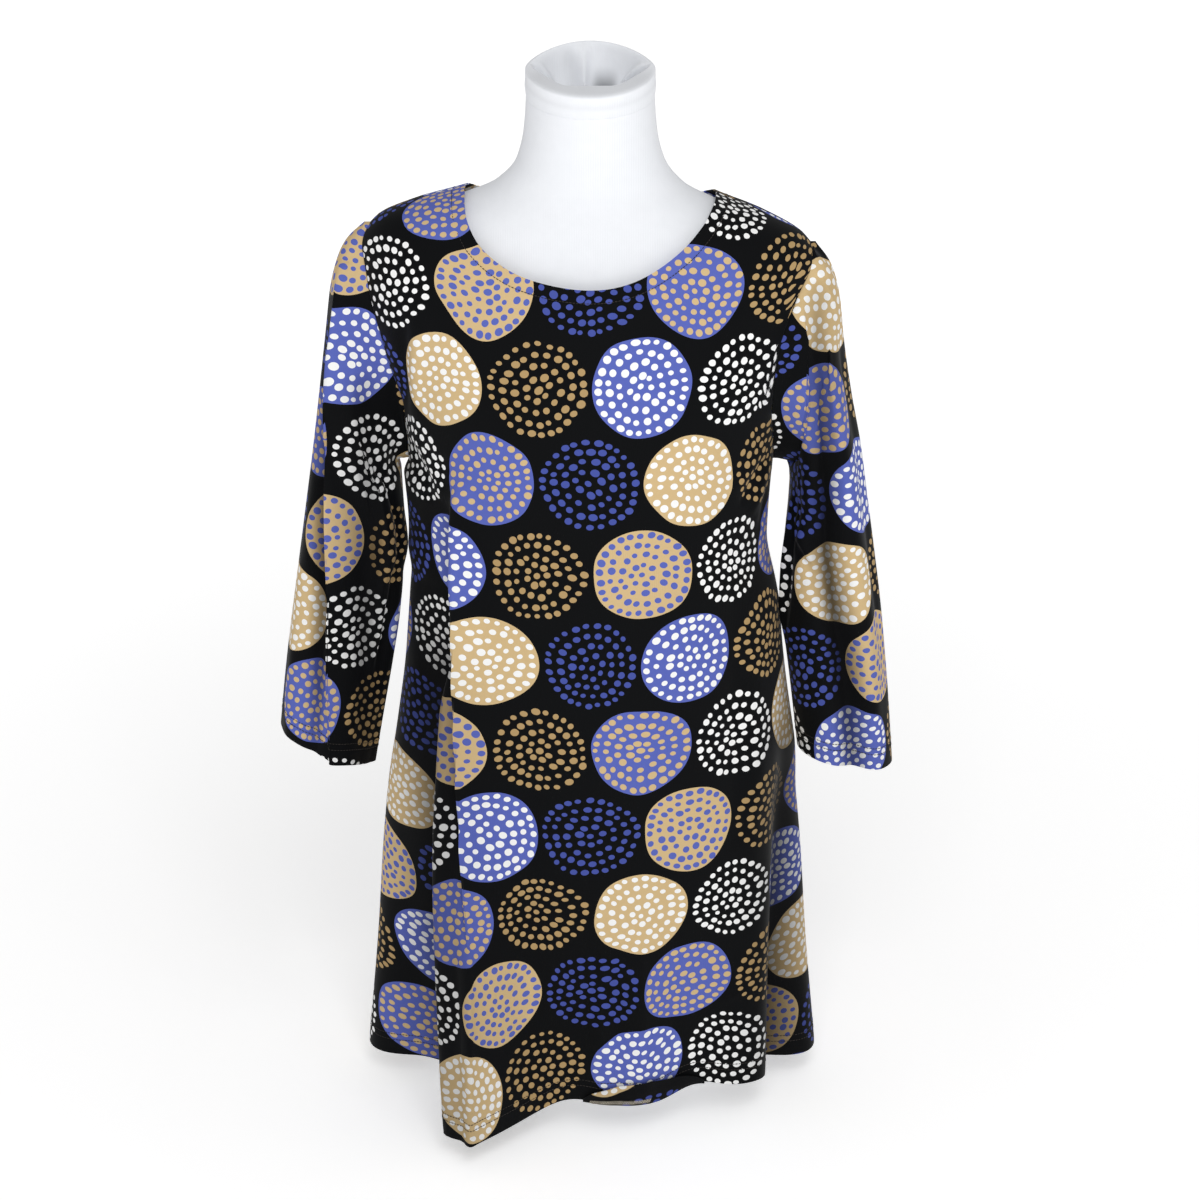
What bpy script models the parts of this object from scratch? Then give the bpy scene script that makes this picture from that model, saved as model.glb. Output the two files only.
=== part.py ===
"""A-line jersey tunic with three-quarter sleeves, standing on a limbless dress form.

Metres, +Z up. The front faces -Y and the wearer's left is +X. The form stands on its flat
base at z = 0. Every surface is a ring function of an angle and a height: angle 0 is the
centre front, +90 degrees the wearer's left side seam, 180 degrees the centre back.
"""
import math

import bmesh
import bpy
from mathutils import Vector

NAME = "jersey_tunic"

# ---- driving sizes -------------------------------------------------------------------------
CLOTH = 0.0018                 # wall of the tunic
SEAM_GAP = 0.0003              # between sewn pieces
REST_GAP = 0.0047              # cloth off the form's shoulders
BUST_EASE = 0.0045             # extra air under the cloth at the front and back of the chest

HEM_HEIGHT = 0.028
CHEST_HEIGHT = 0.585           # level where the straight skirt rings end
UNDERARM_HEIGHT = 0.610
SHOULDER_TIP_X = 0.190
NECK_HALF_WIDTH = 0.1055
FRONT_NECK_HEIGHT = 0.781
BACK_NECK_HEIGHT = 0.822
FREE_HEIGHT = 0.600            # the cloth hangs free below this height
WORN_HEIGHT = 0.700            # and lies on the form above this one
SHOULDER_DROP = 0.009          # the left shoulder tip stands lower and the right one higher by this

ARMHOLE_STEPS = 10             # grid columns along each armhole, shoulder and neckline
SHOULDER_STEPS = 4
FRONT_NECK_STEPS = 14
BACK_NECK_STEPS = 8
SKIRT_ROWS = 15
CHEST_ROWS = 10
SLEEVE_ROWS = 18

# dress form: half width and distance of the front and back face from the centre plane
FORM_RINGS = (
    # height, half_width, front, back
    (0.000, 0.138, 0.052, 0.104),
    (0.080, 0.149, 0.070, 0.114),
    (0.200, 0.158, 0.092, 0.118),
    (0.320, 0.146, 0.100, 0.100),
    (0.420, 0.128, 0.098, 0.078),
    (0.520, 0.134, 0.110, 0.084),
    (0.600, 0.146, 0.120, 0.090),
    (0.660, 0.157, 0.115, 0.093),
    (0.720, 0.177, 0.102, 0.090),
    (0.765, 0.189, 0.088, 0.080),
    (0.793, 0.190, 0.078, 0.069),
    (0.813, 0.178, 0.070, 0.060),
    (0.829, 0.147, 0.063, 0.053),
    (0.842, 0.108, 0.057, 0.048),
    (0.855, 0.080, 0.053, 0.046),
    (0.875, 0.0625, 0.052, 0.045),
    (0.900, 0.0560, 0.053, 0.045),
    (0.925, 0.0540, 0.055, 0.046),
    (0.950, 0.0535, 0.056, 0.047),
)

# tunic below the chest, before its folds
SKIRT_RINGS = (
    # height, half_width, front, back
    (0.030, 0.2115, 0.128, 0.138),
    (0.145, 0.2000, 0.130, 0.134),
    (0.235, 0.1930, 0.132, 0.128),
    (0.300, 0.1860, 0.133, 0.122),
    (0.360, 0.1760, 0.134, 0.115),
    (0.430, 0.1655, 0.134, 0.108),
    (0.500, 0.1590, 0.133, 0.102),
    (0.550, 0.1540, 0.131, 0.099),
    (0.600, 0.1570, 0.129, 0.099),
    (0.660, 0.1640, 0.124, 0.101),
    (0.720, 0.1840, 0.108, 0.098),
)

FOLD_GROWTH = 1.15             # above 1 a fold deepens faster towards the hem
# folds that fall from the bust: a ridge has a positive depth, a trough a negative one, lean is
# how far its crest hangs sideways over its neighbour, and dip how far it lowers the hem
SKIRT_FOLDS = (
    # hem_angle, top_angle, half_width_deg, depth, lean, start_height, dip
    (-24.0, -47.0, 9.5, 0.076, -0.020, 0.600, 0.004),
    (-43.0, -64.0, 12.0, -0.046, 0.0, 0.520, 0.0),
    (-63.0, -76.0, 13.0, -0.036, 0.0, 0.450, 0.0),
    (-5.0, -8.0, 9.0, -0.004, 0.0, 0.300, -0.010),
    (9.0, 10.0, 8.0, 0.006, 0.0, 0.330, -0.008),
    (27.0, 30.0, 10.0, -0.006, 0.0, 0.280, -0.018),
    (44.0, 60.0, 9.0, 0.010, 0.013, 0.430, -0.012),
    (62.0, 74.0, 11.0, -0.042, 0.0, 0.420, 0.0),
    (112.0, 112.0, 11.0, -0.018, 0.0, 0.470, 0.0),
    (134.0, 130.0, 12.0, 0.024, 0.008, 0.520, 0.003),
    (158.0, 156.0, 10.0, -0.016, 0.0, 0.440, 0.0),
    (180.0, 182.0, 12.0, 0.016, -0.004, 0.360, 0.002),
    (204.0, 205.0, 10.0, -0.020, 0.0, 0.480, 0.0),
    (226.0, 229.0, 11.0, 0.026, -0.008, 0.500, 0.003),
    (248.0, 248.0, 10.0, -0.018, 0.0, 0.400, 0.0),
)

# armhole: how far, in degrees of the ring, it is cut in from the side on each face
ARMHOLE_CUT = {
    ("front", "left"): 31.0,
    ("front", "right"): 17.0,
    ("back", "left"): 24.0,
    ("back", "right"): 22.0,
}
ARMHOLE_POWER = 0.5            # below 1 the cut has a long straight middle
ARMHOLE_LIFT = 1.5             # above 1 its deepest point lies above the middle
NECK_POWER = {"front": (0.93, 1.8), "back": (0.93, 0.93)}  # right and left side, above 1 is a V
FORM_SHOULDER_INSET = 0.008    # the form's shoulder line inside the cloth's tip and neck edge
FORM_NECK_INSET = 0.002

# share of the chest's width taken by the grid below each part of the top edge
UNDERARM_SHARE = 0.160
CHEST_SIDE_SHARE = 0.045
SHOULDER_SHARE = 0.055
LATE_LEAN = 2.2                # grid lines go up past the armhole before they lean out
FLAT_ROWS = 20
RELAX_ROUNDS = 12
HALVINGS = 30                  # steps of each search by halving

# sleeves: the outermost and innermost point of each ring and its depth to front and back
SLEEVE_RINGS = {
    "right": (
        # outer_x, outer_z, inner_x, inner_z, half_depth, centre_y
        (0.2050, 0.8080, 0.1670, 0.6160, 0.060, 0.002),
        (0.2150, 0.7930, 0.1700, 0.6140, 0.062, 0.002),
        (0.2225, 0.7640, 0.1715, 0.6040, 0.062, 0.001),
        (0.2290, 0.7220, 0.1710, 0.5880, 0.060, 0.000),
        (0.2355, 0.6750, 0.1690, 0.5640, 0.057, -0.002),
        (0.2430, 0.6220, 0.1660, 0.5370, 0.054, -0.004),
        (0.2510, 0.5700, 0.1655, 0.5080, 0.052, -0.006),
        (0.2605, 0.5100, 0.1690, 0.4700, 0.049, -0.008),
        (0.2685, 0.4600, 0.1765, 0.4250, 0.046, -0.010),
        (0.2750, 0.4150, 0.1855, 0.3780, 0.044, -0.012),
        (0.2810, 0.3660, 0.1950, 0.3270, 0.042, -0.014),
    ),
    "left": (
        (0.2020, 0.8030, 0.1680, 0.6160, 0.059, 0.002),
        (0.2090, 0.7850, 0.1715, 0.6150, 0.061, 0.002),
        (0.2140, 0.7560, 0.1730, 0.6060, 0.061, 0.001),
        (0.2190, 0.7160, 0.1745, 0.5920, 0.059, 0.000),
        (0.2265, 0.6720, 0.1735, 0.5710, 0.056, -0.002),
        (0.2360, 0.6260, 0.1715, 0.5460, 0.053, -0.004),
        (0.2435, 0.5780, 0.1695, 0.5180, 0.051, -0.006),
        (0.2520, 0.5240, 0.1690, 0.4850, 0.049, -0.008),
        (0.2590, 0.4760, 0.1725, 0.4500, 0.046, -0.010),
        (0.2660, 0.4140, 0.1785, 0.4050, 0.044, -0.012),
        (0.2740, 0.3290, 0.1865, 0.3430, 0.042, -0.014),
    ),
}
SLEEVE_BLEND_RINGS = 3.4       # the armhole's own outline fades out over this many rings
SLEEVE_BLEND_LEAD = 1.2        # its sideways place fades out this many rings sooner
FOLD_FADE_RINGS = 2.0

# long folds down the sleeves; around is degrees from the outer edge towards the front
SLEEVE_FOLDS = {
    "right": (
        # around, half_width_deg, depth, lean, first_ring, last_ring
        (66.0, 20.0, 0.009, -0.010, 2.0, 14.0),
        (34.0, 16.0, -0.009, 0.004, 2.5, 14.0),
        (205.0, 24.0, -0.006, 0.0, 5.0, 12.0),
        (285.0, 22.0, -0.007, 0.0, 3.0, 13.0),
    ),
    "left": (
        (52.0, 20.0, -0.011, 0.0, 2.5, 12.0),
        (100.0, 22.0, 0.005, 0.0, 2.5, 12.0),
        (150.0, 18.0, -0.007, 0.0, 4.0, 9.0),
        (270.0, 24.0, -0.007, 0.0, 3.0, 12.0),
    ),
}

FORM_COLUMNS = 32
SHOULDER_BASE = 0.793          # widest level of the form's shoulders
NECK_BASE = 0.855
NECK_TOP = 0.950
RIM_TILT = 0.27                # the neck's top leans down to the front by this slope
RIM_START = 0.880
RIM_ROUND = 0.004
NECK_WALL = 0.012
RECESS_DEPTH = 0.055
COVER_WALL = 0.0022

FABRIC_COLOUR = (0.006, 0.007, 0.010, 1.0)
COVER_COLOUR = (0.86, 0.87, 0.90, 1.0)


# ---- ring functions ------------------------------------------------------------------------
def column(rows, index, height):
    """Value of one column of a ring table at a height, as a smooth curve through its rows."""
    if height <= rows[0][0]:
        return rows[0][index]
    if height >= rows[-1][0]:
        return rows[-1][index]
    k = 0
    while rows[k + 1][0] < height:
        k += 1

    def slope(i):
        if i == 0 or i == len(rows) - 1:
            j = 1 if i == 0 else i
            return (rows[j][index] - rows[j - 1][index]) / (rows[j][0] - rows[j - 1][0])
        below = (rows[i][index] - rows[i - 1][index]) / (rows[i][0] - rows[i - 1][0])
        above = (rows[i + 1][index] - rows[i][index]) / (rows[i + 1][0] - rows[i][0])
        if below * above <= 0.0:
            return 0.0
        return 2.0 * below * above / (below + above)

    span = rows[k + 1][0] - rows[k][0]
    t = (height - rows[k][0]) / span
    t2, t3 = t * t, t * t * t
    return ((2 * t3 - 3 * t2 + 1) * rows[k][index] + (t3 - 2 * t2 + t) * span * slope(k)
            + (3 * t2 - 2 * t3) * rows[k + 1][index] + (t3 - t2) * span * slope(k + 1))


def smooth(low, high, value):
    t = min(1.0, max(0.0, (value - low) / (high - low)))
    return t * t * (3.0 - 2.0 * t)


def mix(a, b, t):
    return a + (b - a) * t


def ring_point(rings, angle, height):
    depth = column(rings, 2 if math.cos(angle) > 0.0 else 3, height)
    return Vector((column(rings, 1, height) * math.sin(angle), -depth * math.cos(angle), height))


def surface_normal(surface, angle, height):
    """Outward normal of a ring surface, from small steps along both of its coordinates."""
    da, dh = 0.004, 0.0006
    around = surface(angle + da, height) - surface(angle - da, height)
    up = surface(angle, height + dh) - surface(angle, height - dh)
    return around.cross(up).normalized()


def form_point(angle, height):
    """The form's face, with one shoulder lower than the other."""
    point = ring_point(FORM_RINGS, angle, height)
    share = point.x / SHOULDER_TIP_X
    at_shoulder = smooth(WORN_HEIGHT, SHOULDER_BASE, height) * (1.0 - smooth(NECK_BASE, RIM_START, height))
    point.z -= SHOULDER_DROP * share * abs(share) * at_shoulder
    return point


def skirt_point(angle, height):
    """The hanging cloth: its base ring, pushed out and sideways by each fold."""
    base = ring_point(SKIRT_RINGS, angle, height)
    step = ring_point(SKIRT_RINGS, angle + 0.01, height) - ring_point(SKIRT_RINGS, angle - 0.01, height)
    along = step.normalized()
    out = Vector((along.y, -along.x, 0.0))
    shift = Vector()
    for hem_angle, top_angle, half_width, depth, lean, start, dip in SKIRT_FOLDS:
        grown = (start - height) / (start - HEM_HEIGHT)
        if grown <= 0.0:
            continue
        centre = mix(top_angle, hem_angle, grown)
        away = (math.degrees(angle) - centre + 180.0) % 360.0 - 180.0
        rise = math.exp(-(away / half_width) ** 2) * grown ** FOLD_GROWTH
        shift += out * depth * rise + along * lean * rise
        shift.z -= dip * rise
    return base + shift


def cloth_point(angle, height):
    """Inner face of the tunic: on the form at the shoulders, free of it below the bust."""
    hang = 1.0 - smooth(FREE_HEIGHT, WORN_HEIGHT, height)
    if hang >= 1.0:
        return skirt_point(angle, height)
    ease = REST_GAP + BUST_EASE * math.cos(angle) ** 2
    worn = form_point(angle, height) + surface_normal(form_point, angle, height) * ease
    return worn.lerp(skirt_point(angle, height), hang)


# ---- cut of the front and back -------------------------------------------------------------
def ridge_height(x):
    """Height of the shoulder line over a distance from the centre."""
    low, high = SHOULDER_BASE, NECK_TOP
    for _ in range(HALVINGS):
        middle = (low + high) / 2.0
        if column(FORM_RINGS, 1, middle) > x:
            low = middle
        else:
            high = middle
    return low


def side_angle(depth):
    """The side of the ring, less half a seam gap."""
    return math.pi / 2.0 - SEAM_GAP / 2.0 / depth


def face_depth(face, height):
    rings = FORM_RINGS if height > (FREE_HEIGHT + WORN_HEIGHT) / 2.0 else SKIRT_RINGS
    return column(rings, 2 if face == "front" else 3, height)


def top_edge(face):
    """The panel's top edge as (side angle, height), from the wearer's right to the left.

    It runs up the right armhole, along the right shoulder, round the neckline and down."""
    samples = 60
    steps = [k / samples for k in range(samples + 1)]
    tip_x = SHOULDER_TIP_X - FORM_SHOULDER_INSET
    neck_x = NECK_HALF_WIDTH - FORM_NECK_INSET
    tip_height, neck_top = ridge_height(tip_x), ridge_height(neck_x)

    def armhole(side):
        run = []
        for t in steps:
            height = mix(UNDERARM_HEIGHT, tip_height, t)
            cut = math.radians(ARMHOLE_CUT[face, side])
            cut *= math.sin(math.pi * t ** ARMHOLE_LIFT) ** ARMHOLE_POWER
            run.append((side_angle(face_depth(face, height)) - cut, height))
        return even_run(face, run, ARMHOLE_STEPS)

    def shoulder():
        run = []
        for t in steps:
            height = ridge_height(mix(tip_x, neck_x, t))
            run.append((side_angle(face_depth(face, height)), height))
        return even_run(face, run, SHOULDER_STEPS)[1:]

    def neckline():
        low = FRONT_NECK_HEIGHT if face == "front" else BACK_NECK_HEIGHT
        run = []
        for t in steps:
            power = mix(*NECK_POWER[face], smooth(0.3, 0.7, t))
            height = neck_top - (neck_top - low) * math.sin(math.pi * t) ** power
            limit = math.sin(side_angle(face_depth(face, height)))
            share = -neck_x * math.cos(math.pi * t) / column(FORM_RINGS, 1, height)
            run.append((math.asin(max(-limit, min(limit, share))), height))
        return even_run(face, run, FRONT_NECK_STEPS if face == "front" else BACK_NECK_STEPS)[1:-1]

    right = [(-angle, height) for angle, height in armhole("right") + shoulder()]
    left = list(reversed(armhole("left") + shoulder()))
    return right + neckline() + left


def spread(points, count):
    """Places, in steps along a run of points, that divide it into even lengths."""
    lengths = [0.0]
    for a, b in zip(points, points[1:]):
        lengths.append(lengths[-1] + (b - a).length)
    places, k = [], 0
    for step in range(count + 1):
        wanted = lengths[-1] * step / count
        while k < len(lengths) - 2 and lengths[k + 1] < wanted:
            k += 1
        part = (wanted - lengths[k]) / max(1e-9, lengths[k + 1] - lengths[k])
        places.append(k + min(1.0, max(0.0, part)))
    return places


def even_run(face, run, count):
    """The same line of (side angle, height) cut into even lengths of cloth."""
    places = spread([cloth_point(ring_angle(face, a), h) for a, h in run], count)
    found = []
    for place in places:
        k = min(len(run) - 2, int(place))
        found.append(tuple(mix(run[k][n], run[k + 1][n], place - k) for n in (0, 1)))
    return found


def row_angles(face, height, fractions):
    """Side angles at even cloth lengths across one face, so folds take up their own cloth."""
    samples = 160
    limit = side_angle(face_depth(face, height))
    angles = [mix(-limit, limit, k / samples) for k in range(samples + 1)]
    points = [cloth_point(ring_angle(face, angle), height) for angle in angles]
    lengths = [0.0]
    for a, b in zip(points, points[1:]):
        lengths.append(lengths[-1] + (b - a).length)
    found, k = [], 0
    for fraction in fractions:
        wanted = lengths[-1] * fraction
        while k < samples - 1 and lengths[k + 1] < wanted:
            k += 1
        part = (wanted - lengths[k]) / (lengths[k + 1] - lengths[k])
        found.append(mix(angles[k], angles[k + 1], part))
    return found


def ring_angle(face, side):
    return side if face == "front" else math.pi - side


def chest_fractions(columns):
    """Share of the chest's width at each column, so the columns fan out to the armholes."""
    neck_steps = columns - 2 * (ARMHOLE_STEPS + SHOULDER_STEPS)
    half = ARMHOLE_STEPS // 2
    steps = ([UNDERARM_SHARE / half] * half + [CHEST_SIDE_SHARE / half] * half
             + [SHOULDER_SHARE / SHOULDER_STEPS] * SHOULDER_STEPS)
    middle = [(1.0 - 2.0 * sum(steps)) / neck_steps] * neck_steps
    fractions = [0.0]
    for step in steps + middle + steps[::-1]:
        fractions.append(fractions[-1] + step)
    fractions[-1] = 1.0
    return fractions


def panel_cells(face):
    """Grid of (side angle, height), a list of rows from the hem up to the top edge."""
    edge = top_edge(face)
    columns = len(edge) - 1
    narrow = chest_fractions(columns)
    rows = []
    for j in range(SKIRT_ROWS + 1):
        t = j / SKIRT_ROWS
        height = mix(HEM_HEIGHT, CHEST_HEIGHT, t)
        fractions = [mix(i / columns, narrow[i], smooth(0.0, 1.0, t)) for i in range(columns + 1)]
        rows.append([(angle, height) for angle in row_angles(face, height, fractions)])

    chest = rows[-1]
    flat = []
    for j in range(FLAT_ROWS + 1):
        t = j / FLAT_ROWS
        row = []
        for i, (low, high) in enumerate(zip(chest, edge)):
            start, end = flat_place(face, *low), flat_place(face, *high)
            early = min(i, columns - i) <= ARMHOLE_STEPS // 2
            row.append(Vector((mix(start.x, end.x, t if early else t ** LATE_LEAN),
                               mix(start.y, end.y, t))))
        flat.append(row)
    relax(flat)
    worn = [chest] + [[worn_place(face, place) for place in row] for row in flat[1:-1]] + [edge]
    lines = [even_run(face, [row[i] for row in worn], CHEST_ROWS) for i in range(columns + 1)]
    for j in range(1, CHEST_ROWS):
        rows.append([line[j] for line in lines])
    rows.append(edge)
    return rows


def worn_size(face, height):
    """Half width and depth of the ring the cloth follows at a height."""
    hang = 1.0 - smooth(FREE_HEIGHT, WORN_HEIGHT, height)
    index = 2 if face == "front" else 3
    return tuple(mix(column(FORM_RINGS, n, height), column(SKIRT_RINGS, n, height), hang)
                 for n in (1, index))


def ring_length(face, angle, height):
    """Length of cloth round the ring from the centre line to a side angle."""
    steps = 24
    wide, deep = worn_size(face, height)
    total = 0.0
    for k in range(steps):
        turn = abs(angle) * (k + 0.5) / steps
        total += math.hypot(wide * math.cos(turn), deep * math.sin(turn)) * abs(angle) / steps
    return math.copysign(total, angle)


def flat_place(face, angle, height):
    """Place on the flat panel: across from the centre line, and up."""
    return Vector((ring_length(face, angle, height), height))


def worn_place(face, place):
    """Side angle and height of a place on the flat panel."""
    low, high = 0.0, math.pi / 2.0
    for _ in range(HALVINGS):
        middle = (low + high) / 2.0
        if ring_length(face, middle, place.y) < abs(place.x):
            low = middle
        else:
            high = middle
    limit = side_angle(face_depth(face, place.y))
    return math.copysign(min(limit, low), place.x), place.y


def relax(grid):
    """Moves the inner points of a flat grid until its cells are even and nowhere folded."""
    for _ in range(RELAX_ROUNDS):
        for j in range(1, len(grid) - 1):
            for i in range(1, len(grid[0]) - 1):
                across = (grid[j][i + 1] - grid[j][i - 1]) / 2.0
                up = (grid[j + 1][i] - grid[j - 1][i]) / 2.0
                skew = (grid[j + 1][i + 1] - grid[j + 1][i - 1]
                        - grid[j - 1][i + 1] + grid[j - 1][i - 1])
                a, b, c = across.dot(across), up.dot(up), across.dot(up)
                total = (grid[j][i + 1] + grid[j][i - 1]) * b + (grid[j + 1][i] + grid[j - 1][i]) * a
                grid[j][i] = (total - skew * (c / 2.0)) / (2.0 * (a + b))


def panel_walls(face):
    """Inner and outer points of one panel, row by row."""
    inner, outer = [], []
    for row in panel_cells(face):
        inside = [cloth_point(ring_angle(face, angle), height) for angle, height in row]
        outside = []
        for point, (angle, height) in zip(inside, row):
            out = surface_normal(cloth_point, ring_angle(face, angle), height)
            outside.append(point + out * CLOTH)
        inner.append(inside)
        outer.append(outside)
    return inner, outer


# ---- sleeves -------------------------------------------------------------------------------
def armhole_ring(side, front, back):
    """Edge of the armhole, moved out by a seam gap, from the shoulder tip round the front."""
    ring = []
    for rows in (front, back):
        edge_inner, edge_outer = [], []
        for inner, store in ((rows[0], edge_inner), (rows[1], edge_outer)):
            top, before = inner[-1], inner[-2]
            picks = range(ARMHOLE_STEPS, -1, -1)
            if side == "left":
                picks = range(len(top) - 1 - ARMHOLE_STEPS, len(top))
            store.extend((top[i], before[i]) for i in picks)
        run = []
        for k, ((inside, _), (outside, below)) in enumerate(zip(edge_inner, edge_outer)):
            a = edge_outer[max(0, k - 1)][0]
            b = edge_outer[min(ARMHOLE_STEPS, k + 1)][0]
            along = (b - a).normalized()
            out = along.cross((outside - inside).normalized())
            if out.dot(outside - below) < 0.0:
                out = -out
            run.append((inside + out * SEAM_GAP, outside + out * SEAM_GAP))
        ring.append(run)
    front_run, back_run = ring
    tip = tuple((front_run[0][k] + back_run[0][k]) / 2.0 for k in (0, 1))
    under = tuple((front_run[-1][k] + back_run[-1][k]) / 2.0 for k in (0, 1))
    loop = [tip] + front_run[1:-1] + [under] + back_run[-2:0:-1]
    return [pair[0] for pair in loop], [pair[1] for pair in loop]


def sleeve_oval(side, place, around):
    """Outer point of a sleeve ring; place counts the rows of its table from 0."""
    rows = [(float(k),) + row for k, row in enumerate(SLEEVE_RINGS[side])]
    outer_x, outer_z, inner_x, inner_z, half_depth, centre_y = (
        column(rows, index, place) for index in range(1, 7))
    sign = 1.0 if side == "left" else -1.0
    outer = Vector((sign * outer_x, centre_y, outer_z))
    inner = Vector((sign * inner_x, centre_y, inner_z))
    centre, arm = (outer + inner) / 2.0, (outer - inner) / 2.0
    point = centre + arm * math.cos(around)
    point.y -= half_depth * math.sin(around)
    out = arm.normalized() * math.cos(around) + Vector((0.0, -math.sin(around), 0.0))
    along = arm.normalized() * -math.sin(around) + Vector((0.0, -math.cos(around), 0.0))
    for centre_at, half_width, depth, lean, first, last in SLEEVE_FOLDS[side]:
        away = (math.degrees(around) - centre_at + 180.0) % 360.0 - 180.0
        lasting = (smooth(first, first + FOLD_FADE_RINGS, place)
                   * (1.0 - smooth(last - FOLD_FADE_RINGS, last, place)))
        rise = math.exp(-(away / half_width) ** 2) * lasting
        point += out * depth * rise + along * lean * rise
    return point


def sleeve_walls(side, front, back):
    """Inner and outer points of a sleeve, ring by ring from the armhole to the cuff."""
    first_inner, first_outer = armhole_ring(side, front, back)
    count = len(first_outer)
    turns = [2.0 * math.pi * k / count for k in range(count)]
    last_place = len(SLEEVE_RINGS[side]) - 1
    outer = [first_outer]
    for j in range(1, SLEEVE_ROWS + 1):
        place = last_place * (j - 1) / (SLEEVE_ROWS - 1)
        keep_out = 1.0 - smooth(0.0, SLEEVE_BLEND_RINGS, place + SLEEVE_BLEND_LEAD)
        keep_shape = 1.0 - smooth(0.0, SLEEVE_BLEND_RINGS, place)
        ring = []
        for k, around in enumerate(turns):
            away = first_outer[k] - sleeve_oval(side, 0.0, around)
            kept = Vector((away.x * keep_out, away.y * keep_shape, away.z * keep_shape))
            ring.append(sleeve_oval(side, place, around) + kept)
        outer.append(ring)
    inner = [first_inner]
    sign = 1.0 if side == "left" else -1.0
    for j in range(1, SLEEVE_ROWS + 1):
        ring = []
        for k in range(count):
            around = outer[j][(k + 1) % count] - outer[j][k - 1]
            after = outer[min(j + 1, SLEEVE_ROWS)][k] - outer[j - 1][k]
            out = after.cross(around).normalized() * -sign
            ring.append(outer[j][k] - out * CLOTH)
        inner.append(ring)
    return inner, outer


# ---- mesh helpers --------------------------------------------------------------------------
def add_object(name, mesh, material, collection):
    item = bpy.data.objects.new(name, mesh)
    mesh.materials.append(material)
    collection.objects.link(item)
    return item


def close_mesh(name, bm):
    bmesh.ops.recalc_face_normals(bm, faces=bm.faces)
    mesh = bpy.data.meshes.new(name)
    bm.to_mesh(mesh)
    bm.free()
    return mesh


def wall_mesh(name, inner, outer, round_tube):
    """Closed wall between two grids of points, open or joined into a tube across."""
    bm = bmesh.new()
    inside = [[bm.verts.new(p) for p in row] for row in inner]
    outside = [[bm.verts.new(p) for p in row] for row in outer]
    count = len(inner[0])
    spans = count if round_tube else count - 1
    for j in range(len(inner) - 1):
        for i in range(spans):
            n = (i + 1) % count
            bm.faces.new((outside[j][i], outside[j][n], outside[j + 1][n], outside[j + 1][i]))
            bm.faces.new((inside[j][i], inside[j + 1][i], inside[j + 1][n], inside[j][n]))
    for j in (0, len(inner) - 1):
        for i in range(spans):
            n = (i + 1) % count
            bm.faces.new((inside[j][i], inside[j][n], outside[j][n], outside[j][i]))
    if not round_tube:
        for i in (0, count - 1):
            for j in range(len(inner) - 1):
                bm.faces.new((inside[j][i], outside[j][i], outside[j + 1][i], inside[j + 1][i]))
    return close_mesh(name, bm)


def turned_mesh(name, rings):
    """Closed solid through rings of points, capped flat at both ends."""
    bm = bmesh.new()
    loops = [[bm.verts.new(p) for p in ring] for ring in rings]
    count = len(loops[0])
    for low, high in zip(loops, loops[1:]):
        for i in range(count):
            n = (i + 1) % count
            bm.faces.new((low[i], low[n], high[n], high[i]))
    bm.faces.new(loops[0])
    bm.faces.new(loops[-1])
    return close_mesh(name, bm)


# ---- dress form ----------------------------------------------------------------------------
def tilted(point):
    """Leans the top of the neck down towards the front."""
    point.z += RIM_TILT * point.y * smooth(RIM_START, NECK_TOP, point.z)
    return point


def neck_ring(inset, height, count):
    """Ring round the neck, set in from its face, on the tilted top."""
    ring = []
    for k in range(count):
        angle = 2.0 * math.pi * k / count
        point = form_point(angle, min(height, NECK_TOP))
        flat = Vector((point.x, point.y, 0.0))
        flat *= (flat.length - inset) / flat.length
        lift = RIM_TILT * flat.y * smooth(RIM_START, NECK_TOP, height)
        ring.append(Vector((flat.x, flat.y, height + lift)))
    return ring


def form_rings():
    heights = []
    for low, high in zip(FORM_RINGS, FORM_RINGS[1:]):
        heights += [low[0], (low[0] + high[0]) / 2.0]
    heights.append(NECK_TOP - RIM_ROUND)
    rings = []
    for height in heights:
        ring = [form_point(2.0 * math.pi * k / FORM_COLUMNS, height) for k in range(FORM_COLUMNS)]
        rings.append([tilted(point) for point in ring])
    rings.append(neck_ring(RIM_ROUND, NECK_TOP, FORM_COLUMNS))
    rings.append(neck_ring(NECK_WALL - 0.003, NECK_TOP, FORM_COLUMNS))
    rings.append(neck_ring(NECK_WALL, NECK_TOP - RIM_ROUND, FORM_COLUMNS))
    rings.append(neck_ring(NECK_WALL + 0.002, NECK_TOP - RECESS_DEPTH, FORM_COLUMNS))
    return rings


# cover cloth tucked over the neck's rim: how far in from the neck's face, and its height
COVER_PATH = (
    # inset, height
    (-0.0006, 0.9340),
    (-0.0006, 0.9464),
    (0.0036, 0.9506),
    (0.0094, 0.9506),
    (0.0126, 0.9464),
    (0.0150, 0.9250),
    (0.0190, 0.9100),
)


def cover_walls():
    """The tucked cover: a thin wall that follows the rim and hangs into the neck."""
    inner, outer = [], []
    for k, (inset, height) in enumerate(COVER_PATH):
        before = COVER_PATH[max(0, k - 1)]
        after = COVER_PATH[min(len(COVER_PATH) - 1, k + 1)]
        run, rise = after[0] - before[0], after[1] - before[1]
        length = math.hypot(run, rise)
        side, up = -rise / length, run / length
        inner.append(neck_ring(inset, height, FORM_COLUMNS))
        outer.append(neck_ring(inset + side * COVER_WALL, height + up * COVER_WALL, FORM_COLUMNS))
    return inner, outer


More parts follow.
